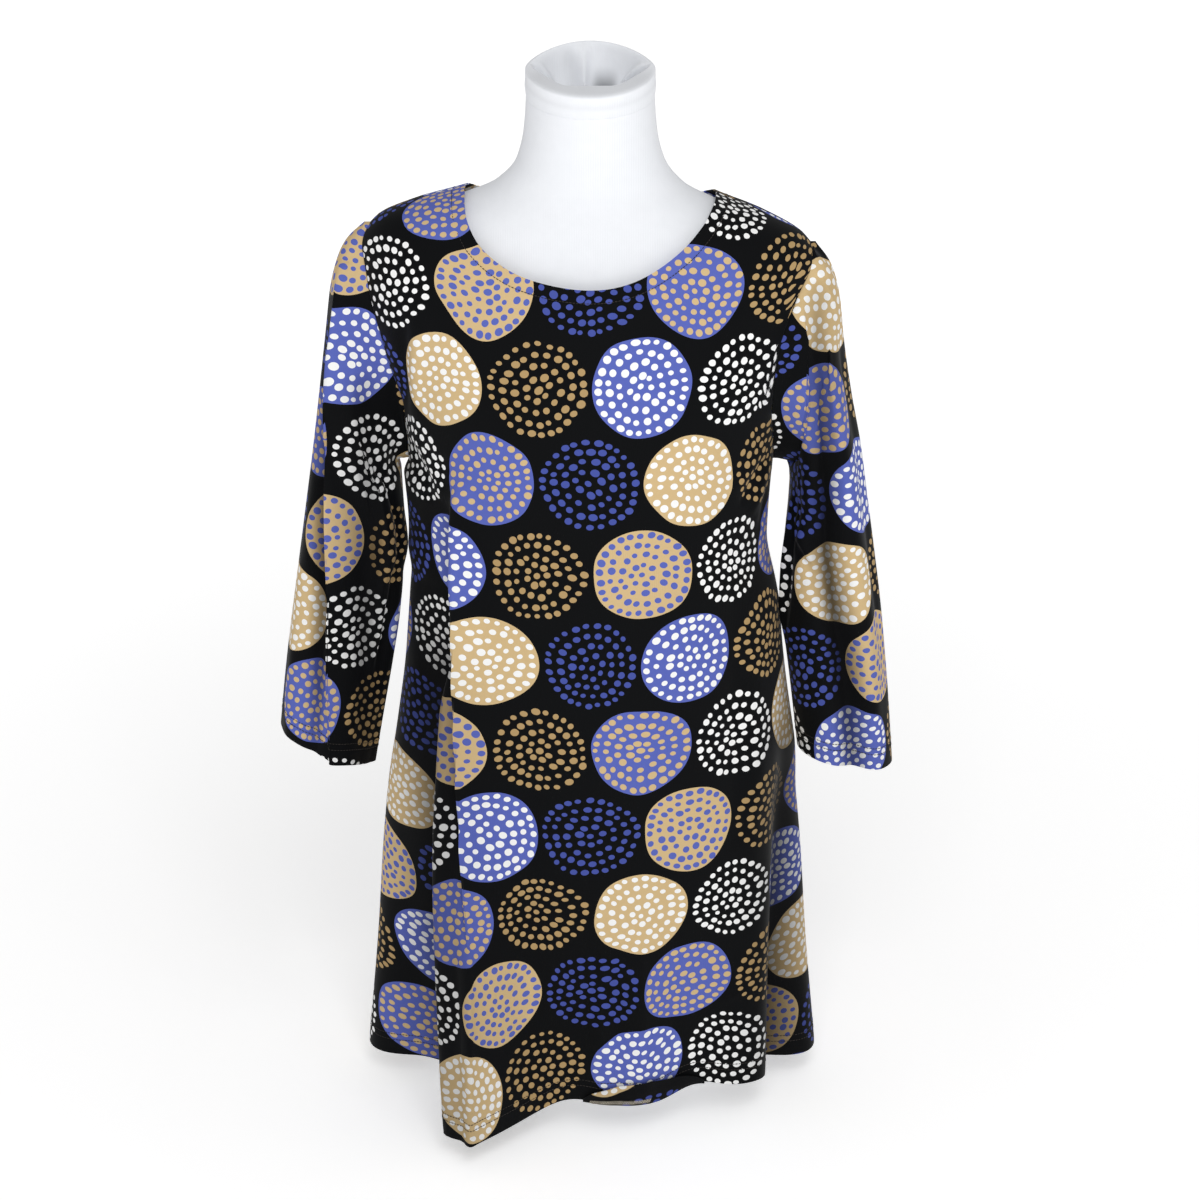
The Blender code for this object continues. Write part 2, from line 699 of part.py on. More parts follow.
# ---- build ---------------------------------------------------------------------------------
def make_material(name, colour, roughness):
    material = bpy.data.materials.new(name)
    material.use_nodes = True
    shader = material.node_tree.nodes["Principled BSDF"]
    shader.inputs["Base Color"].default_value = colour
    shader.inputs["Roughness"].default_value = roughness
    shader.inputs["Metallic"].default_value = 0.0
    return material


def build():
    for item in list(bpy.data.objects):
        bpy.data.objects.remove(item, do_unlink=True)
    collection = bpy.data.collections.new(NAME)
    bpy.context.scene.collection.children.link(collection)
    jersey = make_material("printed_jersey", FABRIC_COLOUR, 0.8)
    knit = make_material("white_form_cover", COVER_COLOUR, 0.7)

    front, back = panel_walls("front"), panel_walls("back")
    add_object("front", wall_mesh("front", *front, False), jersey, collection)
    add_object("back", wall_mesh("back", *back, False), jersey, collection)
    for side in ("left", "right"):
        name = "sleeve_" + side
        walls = sleeve_walls(side, front, back)
        add_object(name, wall_mesh(name, *walls, True), jersey, collection)
    add_object("form_torso", turned_mesh("form_torso", form_rings()), knit, collection)
    add_object("form_neck_cover", wall_mesh("form_neck_cover", *cover_walls(), True), knit, collection)


build()
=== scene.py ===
"""A-line jersey tunic with three-quarter sleeves on a white limbless dress form.

Metres, +Z up. The front faces -Y and +X is the wearer's left. Each section makes one piece, or
one group of like pieces, in the order in which the form is dressed. Tables marked mm are in
millimetres.
"""
import math

import bpy
import numpy as np
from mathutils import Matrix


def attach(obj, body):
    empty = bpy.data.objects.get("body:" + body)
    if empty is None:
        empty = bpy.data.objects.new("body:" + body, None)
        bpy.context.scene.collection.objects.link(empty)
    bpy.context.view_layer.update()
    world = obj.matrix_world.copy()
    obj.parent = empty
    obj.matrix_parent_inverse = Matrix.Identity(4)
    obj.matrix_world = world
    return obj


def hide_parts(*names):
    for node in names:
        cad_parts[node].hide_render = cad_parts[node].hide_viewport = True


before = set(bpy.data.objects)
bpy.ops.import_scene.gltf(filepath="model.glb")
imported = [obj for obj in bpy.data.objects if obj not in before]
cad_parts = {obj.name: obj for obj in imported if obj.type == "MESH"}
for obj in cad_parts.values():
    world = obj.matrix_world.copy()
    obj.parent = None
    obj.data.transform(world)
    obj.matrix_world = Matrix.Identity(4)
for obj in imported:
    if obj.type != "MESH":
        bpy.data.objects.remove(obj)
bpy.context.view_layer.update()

# ---- studio --------------------------------------------------------------------------------
# A camera a little above the form's neck looks down on it. The floor is a wide light table,
# and two large soft boxes and a bright room give light with hardly a shadow.
CAMERA_PITCH, FLOOR_REACH, FLOOR_HEIGHT = 21.2, 30.0, -0.0005
scene = bpy.context.scene
scene.view_settings.view_transform = "Standard"


def add_object(name, data):
    item = bpy.data.objects.new(name, data)
    scene.collection.objects.link(item)
    return item


lens = bpy.data.cameras.new("camera")
lens.sensor_width = 36.0
lens.lens = 79.11
scene.camera = add_object("camera", lens)
scene.camera.location = (0.008, -2.2, 1.33)
scene.camera.rotation_euler = (math.radians(90.0 - CAMERA_PITCH), 0.0, 0.0)


def linear(colour):
    """Linear RGBA of an sRGB hex colour."""
    parts = [int(colour[k:k + 2], 16) / 255.0 for k in (0, 2, 4)]
    parts = [c / 12.92 if c <= 0.04045 else ((c + 0.055) / 1.055) ** 2.4 for c in parts]
    return (*parts, 1.0)


def add_node(tree, kind, *values, out=0, **settings):
    """Adds a node, sets or links its inputs, and gives one of its outputs.

    A kind in capitals is an operation of the math node, or of the vector math node after the
    word vector. Values come in the order of the inputs, or as a dict by their names or numbers.
    A tuple that starts with a kind is a node of its own, made first."""
    *vector, operation = kind.split()
    if operation.isupper():
        kind = "ShaderNodeVectorMath" if vector else "ShaderNodeMath"
        settings["operation"] = operation
    node = tree.nodes.new(kind)
    for name, value in settings.items():
        setattr(node, name, value)
    feeds = values[0] if values and isinstance(values[0], dict) else dict(enumerate(values))
    for socket, value in feeds.items():
        if isinstance(value, tuple) and isinstance(value[0], str):
            value = add_node(tree, *value)
        if isinstance(value, bpy.types.NodeSocket):
            tree.links.new(value, node.inputs[socket])
        else:
            node.inputs[socket].default_value = value
    return node.outputs[out] if node.outputs else node


def new_material(name, **inputs):
    """A material, its node tree, and its shader with inputs set by name, _ for a space."""
    material = bpy.data.materials.new(name)
    material.use_nodes = True
    shader = material.node_tree.nodes["Principled BSDF"]
    for label, value in inputs.items():
        shader.inputs[label.replace("_", " ")].default_value = value
    return material, material.node_tree, shader


# opal acrylic of a light table: matte white, lit from below, and brighter further out
light_table, tree, shader = new_material("opal_acrylic_light_table", Base_Color=linear("f8f8f8"),
                                         Roughness=0.9, Emission_Color=linear("ffffff"))
away = add_node(tree, "ShaderNodeTexCoord", out="Object")
away = add_node(tree, "vector LENGTH", away, out="Value")
glow = add_node(tree, "ShaderNodeMapRange", {"Value": away, "From Min": 0.4, "From Max": 3.0,
                                             "To Min": 0.42, "To Max": 0.74})
tree.links.new(glow, shader.inputs["Emission Strength"])
floor_mesh = bpy.data.meshes.new("floor")
floor_mesh.from_pydata([(FLOOR_REACH * x, FLOOR_REACH * y, FLOOR_HEIGHT)
                        for x, y in ((-1, -1), (1, -1), (1, 1), (-1, 1))], [], [(0, 1, 2, 3)])
floor_mesh.materials.append(light_table)
add_object("floor", floor_mesh)

room = bpy.data.worlds.new("room")
room.use_nodes = True
room.node_tree.nodes["Background"].inputs["Color"].default_value = linear("ffffff")
room.node_tree.nodes["Background"].inputs["Strength"].default_value = 0.43
scene.world = room

for name, place, aim, size, power in (
        ("soft_box_high", (0.5, -1.2, 2.3), (0.0, 0.0, 0.60), 0.9, 5.0),
        ("soft_box_front", (0.1, -1.55, 1.65), (0.0, 0.0, 0.62), 0.8, 11.8)):
    light = bpy.data.lights.new(name, "AREA")
    light.size = size
    light.energy = power
    lamp = add_object(name, light)
    lamp.location = place
    away = np.array(aim) - np.array(place)
    lamp.rotation_euler = (math.acos(-away[2] / np.linalg.norm(away)), 0.0,
                           math.atan2(away[1], away[0]) - math.pi / 2.0)


# ---- dress form ----------------------------------------------------------------------------
# A limbless torso of padded foam in a white polyester knit cover, which gives a soft matte
# white. It stands on its flat base, and the top of its neck is hollow and leans to the front.
SHOULDER_TIP_X, SHOULDER_BASE, SHOULDER_DROP = 0.190, 0.793, 0.009
NECK_BASE, RIM_START, NECK_TOP, RIM_TILT = 0.855, 0.880, 0.950, 0.27
NAPE_START, NAPE_END, NAPE_POWER = 0.925, 0.952, 0.5
FREE_HEIGHT, WORN_HEIGHT = 0.600, 0.700
BASE_CENTRE_Y, SHARP_DEGREES = 0.026, 55.0
FORM_RINGS = (
    # mm: height, half_width, front, back
    (0, 138, 52, 104), (80, 149, 70, 114), (200, 158, 92, 118), (320, 146, 100, 100),
    (420, 128, 98, 78), (520, 134, 110, 84), (600, 146, 120, 90), (660, 157, 115, 93),
    (720, 177, 102, 90), (765, 189, 88, 80), (793, 190, 78, 69), (813, 178, 70, 60),
    (829, 147, 63, 53), (842, 108, 57, 48), (855, 80, 53, 46), (875, 62.5, 52, 45),
    (900, 56, 53, 45), (925, 54, 55, 46), (950, 53.5, 56, 47),
)


def metres(table):
    return np.array(table, float) / 1000.0


def smooth(low, high, value):
    t = np.clip((value - low) / (high - low), 0.0, 1.0)
    return t * t * (3.0 - 2.0 * t)


def unit(vectors):
    return vectors / np.maximum(np.linalg.norm(vectors, axis=-1, keepdims=True), 1e-12)


def curve_through(table):
    """A function that reads a table's columns along smooth curves through its rows."""
    at, values = table[:, 0], table[:, 1:]
    steep = np.diff(values, axis=0) / np.diff(at)[:, None]
    slope = np.vstack([steep[:1], np.zeros_like(values[1:-1]), steep[-1:]])
    product, total = steep[:-1] * steep[1:], steep[:-1] + steep[1:]
    rising = product > 0.0
    slope[1:-1][rising] = 2.0 * product[rising] / total[rising]

    def read(place):
        place = np.clip(place, at[0], at[-1])
        k = np.clip(np.searchsorted(at, place) - 1, 0, len(at) - 2)
        span = (at[k + 1] - at[k])[..., None]
        t = (place - at[k])[..., None] / span
        t2, t3 = t * t, t * t * t
        return ((2 * t3 - 3 * t2 + 1) * values[k] + (t3 - 2 * t2 + t) * span * slope[k]
                + (3 * t2 - 2 * t3) * values[k + 1] + (t3 - t2) * span * slope[k + 1])

    return read


read_form = curve_through(metres(FORM_RINGS))


def ring_point(read, angle, height):
    angle, height = np.broadcast_arrays(angle, height)
    half_width, front, back = np.moveaxis(read(height), -1, 0)
    depth = np.where(np.cos(angle) > 0.0, front, back)
    return np.stack([half_width * np.sin(angle), -depth * np.cos(angle), height], -1)


def form_point(angle, height):
    """The form's face, with the left shoulder lower than the right."""
    point = ring_point(read_form, angle, height)
    share = point[..., 0] / SHOULDER_TIP_X
    at_shoulder = (smooth(WORN_HEIGHT, SHOULDER_BASE, point[..., 2])
                   * (1.0 - smooth(NECK_BASE, RIM_START, point[..., 2])))
    point[..., 2] -= SHOULDER_DROP * share * np.abs(share) * at_shoulder
    return point


def neck_point(angle, inset, height):
    """A point on the neck's tilted top, set in from its face; the nape is a little flat."""
    point = form_point(angle, np.minimum(height, NECK_TOP))
    back = read_form(np.array(NECK_TOP))[2]
    power = 1.0 + NAPE_POWER * smooth(NAPE_START, NAPE_END, height)
    flatter = back * np.clip(point[..., 1] / back, 0.0, 1.0) ** power
    point[..., 1] = np.where(point[..., 1] > 0.0, flatter, point[..., 1])
    length = np.linalg.norm(point[..., :2], axis=-1, keepdims=True)
    point[..., :2] *= (length - inset[..., None]) / length
    point[..., 2] = height + RIM_TILT * point[..., 1] * smooth(RIM_START, NECK_TOP, height)
    return point


def add_piece(name, points, faces, material, corner_uv=None, marks=None):
    """A smooth-shaded mesh object, with a uv for each face corner and marks for each point."""
    mesh = bpy.data.meshes.new(name)
    mesh.from_pydata(points.tolist(), [], faces)
    mesh.shade_smooth()
    mesh.set_sharp_from_angle(angle=math.radians(SHARP_DEGREES))
    mesh.materials.append(material)
    if corner_uv is not None:
        mesh.uv_layers.new(name="cloth").data.foreach_set("uv", corner_uv.ravel())
    for mark, values in (marks or {}).items():
        layer = mesh.attributes.new(mark, "FLOAT", "POINT")
        layer.data.foreach_set("value", np.asarray(values, np.float32))
    mesh.validate()
    return add_object(name, mesh)


def strip_faces(rows, columns, start=0, closed=False, flip=False):
    """Quads of a grid of points; closed joins the last column to the first."""
    j, i = np.mgrid[:rows - 1, :columns if closed else columns - 1]
    low, high, n = start + j * columns, start + (j + 1) * columns, (i + 1) % columns
    quads = np.stack([low + i, low + n, high + n, high + i], -1).reshape(-1, 4)
    return (quads[:, ::-1] if flip else quads).tolist()


# polyester interlock cover: a fine matte knit, its 1 mm wales just show as a faint grain
form_knit, tree, shader = new_material("white_polyester_interlock", Roughness=0.85,
                                       Sheen_Weight=0.15, Sheen_Roughness=0.5)
place = add_node(tree, "ShaderNodeTexCoord", out="Object")
wales = add_node(tree, "ShaderNodeTexWave", {"Vector": place, "Scale": 160.0, "Distortion": 1.5},
                 out="Fac", wave_type="BANDS", bands_direction="X")
mottle = add_node(tree, "ShaderNodeTexNoise", {"Vector": place, "Scale": 90.0, "Detail": 3.0})
bump = add_node(tree, "ShaderNodeBump", {"Height": ("ADD", wales, mottle), "Strength": 0.12,
                                         "Distance": 0.0004})
tree.links.new(bump, shader.inputs["Normal"])
tint = add_node(tree, "ShaderNodeMix", {0: mottle, 6: linear("e7e9ed"), 7: linear("edeff3")}, out=2,
                data_type="RGBA")
# painted shade: the knit is painted greyer where it is rolled over the rim and where it hangs into the
# hollow
greyed = add_node(tree, "ShaderNodeAttribute", out="Fac", attribute_name="greyed")
tint = add_node(tree, "ShaderNodeMix", {0: greyed, 6: tint, 7: linear("77797d")}, out=2,
                data_type="RGBA")
tree.links.new(tint, shader.inputs["Base Color"])

FORM_COLUMNS, COVER_RECESS, RECESS_START, RECESS_END = 144, 0.0016, 0.928, 0.934
turns = np.linspace(0.0, 2.0 * math.pi, FORM_COLUMNS, endpoint=False)
loops = []
for level in np.concatenate([np.arange(0.0, 0.780, 0.010), np.arange(0.780, 0.946, 0.0035)]):
    height = np.full(FORM_COLUMNS, level)
    under_cover = COVER_RECESS * smooth(RECESS_START, RECESS_END, height)
    loops.append(neck_point(turns, under_cover, height) if level > RIM_START
                 else form_point(turns, height))
# the top of the neck is wide at the front and thin at the back, round an almond-shaped mouth
MOUTH_LIP, MOUTH_CORNER, MOUTH_REACH, MOUTH_FLAT = 0.0032, 0.0540, 0.0400, 0.0230
MOUTH_PATH = (
    # share of the rim's width; mm: inset, height
    (0, 1.6, 947), (0.06, 1.4, 949), (0.5, 0, 949.8), (0.9, -0.2, 949.6), (0.98, 0, 948),
    (1, 0.4, 943), (1, 1.4, 936), (1, 3, 926), (1, 4.5, 912), (1, 7, 897), (1, 16, 895),
)
half_width, front = read_form(np.array(NECK_TOP))[:2]
beside, ahead = half_width * np.abs(np.sin(turns)), front * np.maximum(np.cos(turns), 1e-6)
slant = MOUTH_REACH / (MOUTH_CORNER - MOUTH_FLAT)
share = np.minimum(MOUTH_REACH / ahead, slant * MOUTH_CORNER / (ahead + slant * beside))
rim_width = np.maximum(MOUTH_LIP, (1.0 - share) * np.hypot(beside, ahead))
rim_width = sum(np.roll(rim_width, k) for k in range(-3, 4)) / 7.0
for share, *sizes in MOUTH_PATH:
    inset, level = metres(sizes)
    loops.append(neck_point(turns, share * rim_width + inset, np.full(FORM_COLUMNS, level)))
points = np.vstack(loops + [loops[-1].mean(axis=0)[None], [[0.0, BASE_CENTRE_Y, 0.0]]])
faces = strip_faces(len(loops), FORM_COLUMNS, closed=True)
last = (len(loops) - 1) * FORM_COLUMNS
for k in range(FORM_COLUMNS):
    n = (k + 1) % FORM_COLUMNS
    faces += [[last + k, last + n, len(points) - 2], [n, k, len(points) - 1]]
torso = add_piece("dress_form_torso", points, faces, form_knit)
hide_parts("form_torso")
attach(torso, "root")


# ---- neck cover ----------------------------------------------------------------------------
# The top of the form's cover: a strip of the same white knit, rolled over the neck's rim and
# tucked into the hollow, where the spare cloth stands in a few soft upright folds.
COVER_WALL, COVER_STEPS = 0.0010, 81
COVER_PATH = (
    # share of the rim's width; mm: inset, height
    (0, 0.9, 930), (0, 0.6, 931.8), (0, 0.2, 934.5), (0, -0.1, 937.5), (0, 0.1, 940.5),
    (0, 0.3, 943), (0, 0.2, 946), (0, 0.2, 948.6), (0, 0.3, 950.3), (0.05, 0.4, 951.3),
    (0.2, 0.5, 951.8), (0.5, 0.4, 952.2), (0.8, 0.3, 952.7), (0.94, 0.1, 952.9), (1, 0.4, 952),
    (1, 1, 950), (1, 1.6, 946), (1, 3, 940), (1, 4.6, 934), (1, 6.6, 927), (1, 8.5, 920),
    (1, 10, 912),
)
CREST_STEP, TUCKED_STEP = 13.0, 18.0
TUCK_FOLDS = (
    # around_deg at the rim and down in the hollow, half_width_deg, mm of reach into the hollow
    (187, 190, 6.5, 8), (203, 203, 7, -2), (166, 165, 12, -1.2), (98, 140, 7, 10),
    (256, 228, 8, 5), (278, 292, 9, 4), (60, 52, 10, 3), (338, 334, 12, 2),
)


def bell(value, centre, half_width):
    """1 on the centre line of a fold, down to 0 beside it; degrees go round a ring."""
    return np.exp(-(((value - centre + 180.0) % 360.0 - 180.0) / half_width) ** 2)


def resampled(line, at, places=None):
    """The values of a line's points at places along it, which count its points by default."""
    places = np.arange(len(line)) if places is None else places
    return np.stack([np.interp(at, places, column) for column in line.T], -1)


path = np.array(COVER_PATH) / [1.0, 1000.0, 1000.0]
steps = np.linspace(0.0, len(path) - 1.0, COVER_STEPS)
shares, insets, levels = resampled(path, steps).T[..., None]
insets = shares * rim_width + insets
levels = np.broadcast_to(levels, insets.shape)
run, rise = np.gradient(insets, axis=0), np.gradient(levels, axis=0)
length = np.maximum(np.hypot(run, rise), 1e-9)
tucked = smooth(CREST_STEP, TUCKED_STEP, steps)
in_hollow = np.clip((steps - CREST_STEP) / (len(path) - 1.0 - CREST_STEP), 0.0, 1.0)
around = np.degrees(turns)
for from_turn, to_turn, half_width, reach in TUCK_FOLDS:
    centre = (from_turn + (to_turn - from_turn) * in_hollow)[:, None]
    insets = insets + reach / 1000.0 * bell(around, centre, half_width) * tucked[:, None]
# painted shade at the front on the rolled band and on a faint ridge below it, and at the back
# in a deep fold and in a shallow one beside it; each starts and ends at steps of the path
BAND_PAINTED_SHADE, RIDGE_PAINTED_SHADE, SHALLOW_FOLD_PAINTED_SHADE = 0.24, 0.09, 0.22
facing_front = smooth(-0.1, 0.5, np.cos(turns))
on_band = smooth(7.6, 8.6, steps) * (1.0 - smooth(12.4, 13.6, steps))
greyed = np.outer(BAND_PAINTED_SHADE * on_band + RIDGE_PAINTED_SHADE * bell(steps, 4.4, 1.1), facing_front)
greyed += np.outer(smooth(17.4, 20.4, steps), np.exp(-((around - 163.0) / 15.0) ** 4))
greyed += np.outer(SHALLOW_FOLD_PAINTED_SHADE * smooth(14.5, 17.0, steps), bell(around, 201.0, 6.0))
points = np.vstack([neck_point(turns, insets - rise / length * wall, levels + run / length * wall)
                    for wall in (0.0, COVER_WALL)]).reshape(-1, 3)
outside = COVER_STEPS * FORM_COLUMNS
faces = (strip_faces(COVER_STEPS, FORM_COLUMNS, closed=True, flip=True)
         + strip_faces(COVER_STEPS, FORM_COLUMNS, outside, closed=True))
for low, turn in ((0, 1), (outside - FORM_COLUMNS, -1)):
    for k in range(low, low + FORM_COLUMNS):
        n = low + (k + 1 - low) % FORM_COLUMNS
        faces.append([k, n, outside + n, outside + k][::turn])
# the cover's points carry its painted shade as a mark
cover = add_piece("form_cover_tucked_at_neck", points, faces, form_knit,
                  marks={"greyed": np.tile(np.clip(greyed, 0.0, 1.0).ravel(), 2)})
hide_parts("form_neck_cover")
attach(cover, "root")


# ---- front and back of the tunic -----------------------------------------------------------
# Two panels of printed viscose jersey, sewn at the sides and shoulders. The cloth lies on the
# form's shoulders and bust and falls free from there in deep uneven folds.
REST_GAP, BUST_EASE = 0.0047, 0.0045
WALL_INSIDE, WALL_OUTSIDE = 0.0004, 0.0014
HEM_HEIGHT, CHEST_HEIGHT, UNDERARM_HEIGHT = 0.028, 0.585, 0.610
SIDE_ANGLE = math.pi / 2.0
SHOULDER_INSET, NECK_INSET, NECK_HALF_WIDTH = 0.008, 0.002, 0.1055
NECK_LOW = {"front": 0.781, "back": 0.822}
NECK_POWER = {"front": (0.93, 1.8), "back": (0.93, 0.93)}
ARMHOLE_CUT = {("front", "left"): 31.0, ("front", "right"): 17.0,
               ("back", "left"): 24.0, ("back", "right"): 22.0}
BOW_LOW, BOW_ROUND, NECK_POWER_BLEND = 1.5, 0.5, (0.3, 0.7)
ARMHOLE_STEPS, SHOULDER_STEPS, NECK_STEPS = 48, 14, {"front": 60, "back": 52}
SKIRT_ROWS, CHEST_ROWS, EDGE_STEPS, RING_STEPS = 130, 60, 161, 24
RIDGE_STEPS, SIDE_STEPS, HALVINGS = 4000, 721, 30
SKIRT_RINGS = (
    # mm: height, half_width, front, back
    (30, 211.5, 128, 138), (145, 200, 130, 134), (235, 193, 132, 128), (300, 186, 133, 122),
    (360, 176, 134, 115), (430, 165.5, 134, 108), (500, 159, 133, 102), (550, 154, 131, 99),
    (600, 157, 129, 99), (660, 164, 124, 101), (720, 184, 108, 98),
)
SKIRT_FOLDS = (
    # hem_angle, top_angle, half_width_deg; mm: depth, lean, start_height, dip
    (-24, -47, 9.5, 76, -20, 600, 4),
    (-43, -64, 12, -46, 0, 520, 0),
    (-63, -76, 13, -36, 0, 450, 0),
    (-5, -8, 9, -4, 0, 300, -10),
    (9, 10, 8, 6, 0, 330, -8),
    (27, 30, 10, -6, 0, 280, -18),
    (44, 60, 9, 10, 3, 430, -12),
    (62, 74, 11, -42, 0, 420, 0),
    (112, 112, 11, -18, 0, 470, 0),
    (134, 130, 12, 24, 8, 520, 3),
    (158, 156, 10, -16, 0, 440, 0),
    (180, 182, 12, 16, -4, 360, 2),
    (204, 205, 10, -20, 0, 480, 0),
    (226, 229, 11, 26, -8, 500, 3),
    (248, 248, 10, -18, 0, 400, 0),
)
# the last three set the painted shade: which troughs of the hanging folds get it, how wide, and how soon
# it is full
FOLD_GROWTH, SHADED_DEPTH, SHADED_WIDTH, SHADED_START = 1.15, 0.040, 1.5, 0.25
ALONG_STEP, AROUND_STEP, UP_STEP = 0.01, 0.004, 0.0006
read_skirt = curve_through(metres(SKIRT_RINGS))


def skirt_folds(height):
    """For each fold its centre and width, its growth towards the hem, depth, lean and dip."""
    for hem_angle, top_angle, half_width, *sizes in SKIRT_FOLDS:
        depth, lean, start, dip = metres(sizes)
        grown = np.maximum(0.0, (start - height) / (start - HEM_HEIGHT))
        yield top_angle + (hem_angle - top_angle) * grown, half_width, grown, depth, lean, dip


def skirt_point(angle, height):
    """The hanging cloth: its base ring, pushed out and sideways by each fold."""
    point = ring_point(read_skirt, angle, height)
    along = unit(ring_point(read_skirt, angle + ALONG_STEP, height)
                 - ring_point(read_skirt, angle - ALONG_STEP, height))
    out = np.stack([along[..., 1], -along[..., 0], np.zeros(along.shape[:-1])], -1)
    for centre, half_width, grown, depth, lean, dip in skirt_folds(height):
        rise = (bell(np.degrees(angle), centre, half_width) * grown ** FOLD_GROWTH)[..., None]
        point += (out * depth + along * lean - [0.0, 0.0, dip]) * rise
    return point


def skirt_trough_painted_shade(angle, height):
    """How much painted shade a deep trough of the hanging cloth gets, from 0 to 1."""
    sunk = np.zeros(angle.shape)
    for centre, half_width, grown, depth, _, _ in skirt_folds(height):
        if depth < -SHADED_DEPTH:
            shade = bell(np.degrees(angle), centre, SHADED_WIDTH * half_width)
            sunk = np.maximum(sunk, shade * smooth(0.0, SHADED_START, grown))
    return sunk


def normal_of(surface, angle, height):
    around = surface(angle + AROUND_STEP, height) - surface(angle - AROUND_STEP, height)
    up = surface(angle, height + UP_STEP) - surface(angle, height - UP_STEP)
    return unit(np.cross(around, up))


def hang_share(height):
    """0 where the form carries the cloth, 1 where it hangs free."""
    return (1.0 - smooth(FREE_HEIGHT, WORN_HEIGHT, height))[..., None]


def cloth_point(angle, height):
    """Inner face of the cloth: on the form at the shoulders, free of it below the bust."""
    angle, height = np.broadcast_arrays(angle, height)
    ease = (REST_GAP + BUST_EASE * np.cos(angle) ** 2)[..., None]
    worn = form_point(angle, height) + normal_of(form_point, angle, height) * ease
    return worn + (skirt_point(angle, height) - worn) * hang_share(height)


def ring_angle(face, side):
    return side if face == "front" else math.pi - side


def run_lengths(points, axis=0):
    """The way along the cloth to each point of a line, or of a grid's rows or columns."""
    lengths = np.cumsum(np.linalg.norm(np.diff(points, axis=axis), axis=-1), axis=axis)
    return np.concatenate([np.zeros_like(np.take(lengths, [0], axis)), lengths], axis)


def even_run(face, run, count):
    """A line of (side angle, height) cut into even lengths of cloth."""
    lengths = run_lengths(cloth_point(ring_angle(face, run[:, 0]), run[:, 1]))
    return resampled(run, np.linspace(0.0, lengths[-1], count + 1), lengths)


def ridge_height(x):
    """Height of the shoulder line over a distance from the centre."""
    levels = np.linspace(SHOULDER_BASE, NECK_TOP, RIDGE_STEPS)
    return np.interp(-x, -read_form(levels)[:, 0], levels)


def top_edge(face):
    """The panel's top edge: up the right armhole, along the shoulder, round the neck, down."""
    steps = np.linspace(0.0, 1.0, EDGE_STEPS)
    tip_x, neck_x = SHOULDER_TIP_X - SHOULDER_INSET, NECK_HALF_WIDTH - NECK_INSET
    shoulder = ridge_height(tip_x + (neck_x - tip_x) * steps)
    tip_height, neck_top = shoulder[0], shoulder[-1]
    shoulder = np.stack([np.full(EDGE_STEPS, SIDE_ANGLE), shoulder], -1)
    shoulder = even_run(face, shoulder, SHOULDER_STEPS)
    bow = np.maximum(0.0, np.sin(math.pi * steps ** BOW_LOW)) ** BOW_ROUND
    sides = []
    for side, sign in (("right", -1.0), ("left", 1.0)):
        armhole = np.stack([SIDE_ANGLE - math.radians(ARMHOLE_CUT[face, side]) * bow,
                            UNDERARM_HEIGHT + (tip_height - UNDERARM_HEIGHT) * steps], -1)
        armhole = even_run(face, armhole, ARMHOLE_STEPS)
        sides.append(np.vstack([armhole, shoulder[1:]]) * [sign, 1.0])
    power, left_power = NECK_POWER[face]
    power = power + (left_power - power) * smooth(*NECK_POWER_BLEND, steps)
    scoop = np.maximum(0.0, np.sin(math.pi * steps)) ** power
    height = neck_top - (neck_top - NECK_LOW[face]) * scoop
    share = -neck_x * np.cos(math.pi * steps) / read_form(height)[:, 0]
    neck = np.stack([np.arcsin(np.clip(share, -1.0, 1.0)), height], -1)
    neck = even_run(face, neck, NECK_STEPS[face])[1:-1]
    return np.vstack([sides[0], neck, sides[1][::-1]])


def ring_length(face, angle, height):
    """Length of cloth round the ring from the centre line to a side angle."""
    hang = hang_share(height)
    sizes = read_form(height) * (1.0 - hang) + read_skirt(height) * hang
    wide, deep = sizes[..., 0], sizes[..., 1 if face == "front" else 2]
    total, step = np.zeros_like(angle), np.abs(angle) / RING_STEPS
    for k in range(RING_STEPS):
        total += np.hypot(wide * np.cos(step * (k + 0.5)), deep * np.sin(step * (k + 0.5))) * step
    return np.copysign(total, angle)


def worn_angle(face, across, height):
    """The side angle that lies a length of cloth away from the centre line."""
    low, high = np.zeros_like(across), np.full_like(across, SIDE_ANGLE)
    for _ in range(HALVINGS):
        middle = (low + high) / 2.0
        short = ring_length(face, middle, height) < np.abs(across)
        low, high = np.where(short, middle, low), np.where(short, high, middle)
    return np.copysign(low, across)


ARMHOLE_SHARES, SHOULDER_SHARE = (0.160, 0.045), 0.055
FLAT_ROWS, FLAT_LEAN, FLAT_ROUNDS = 20, 2.2, 60


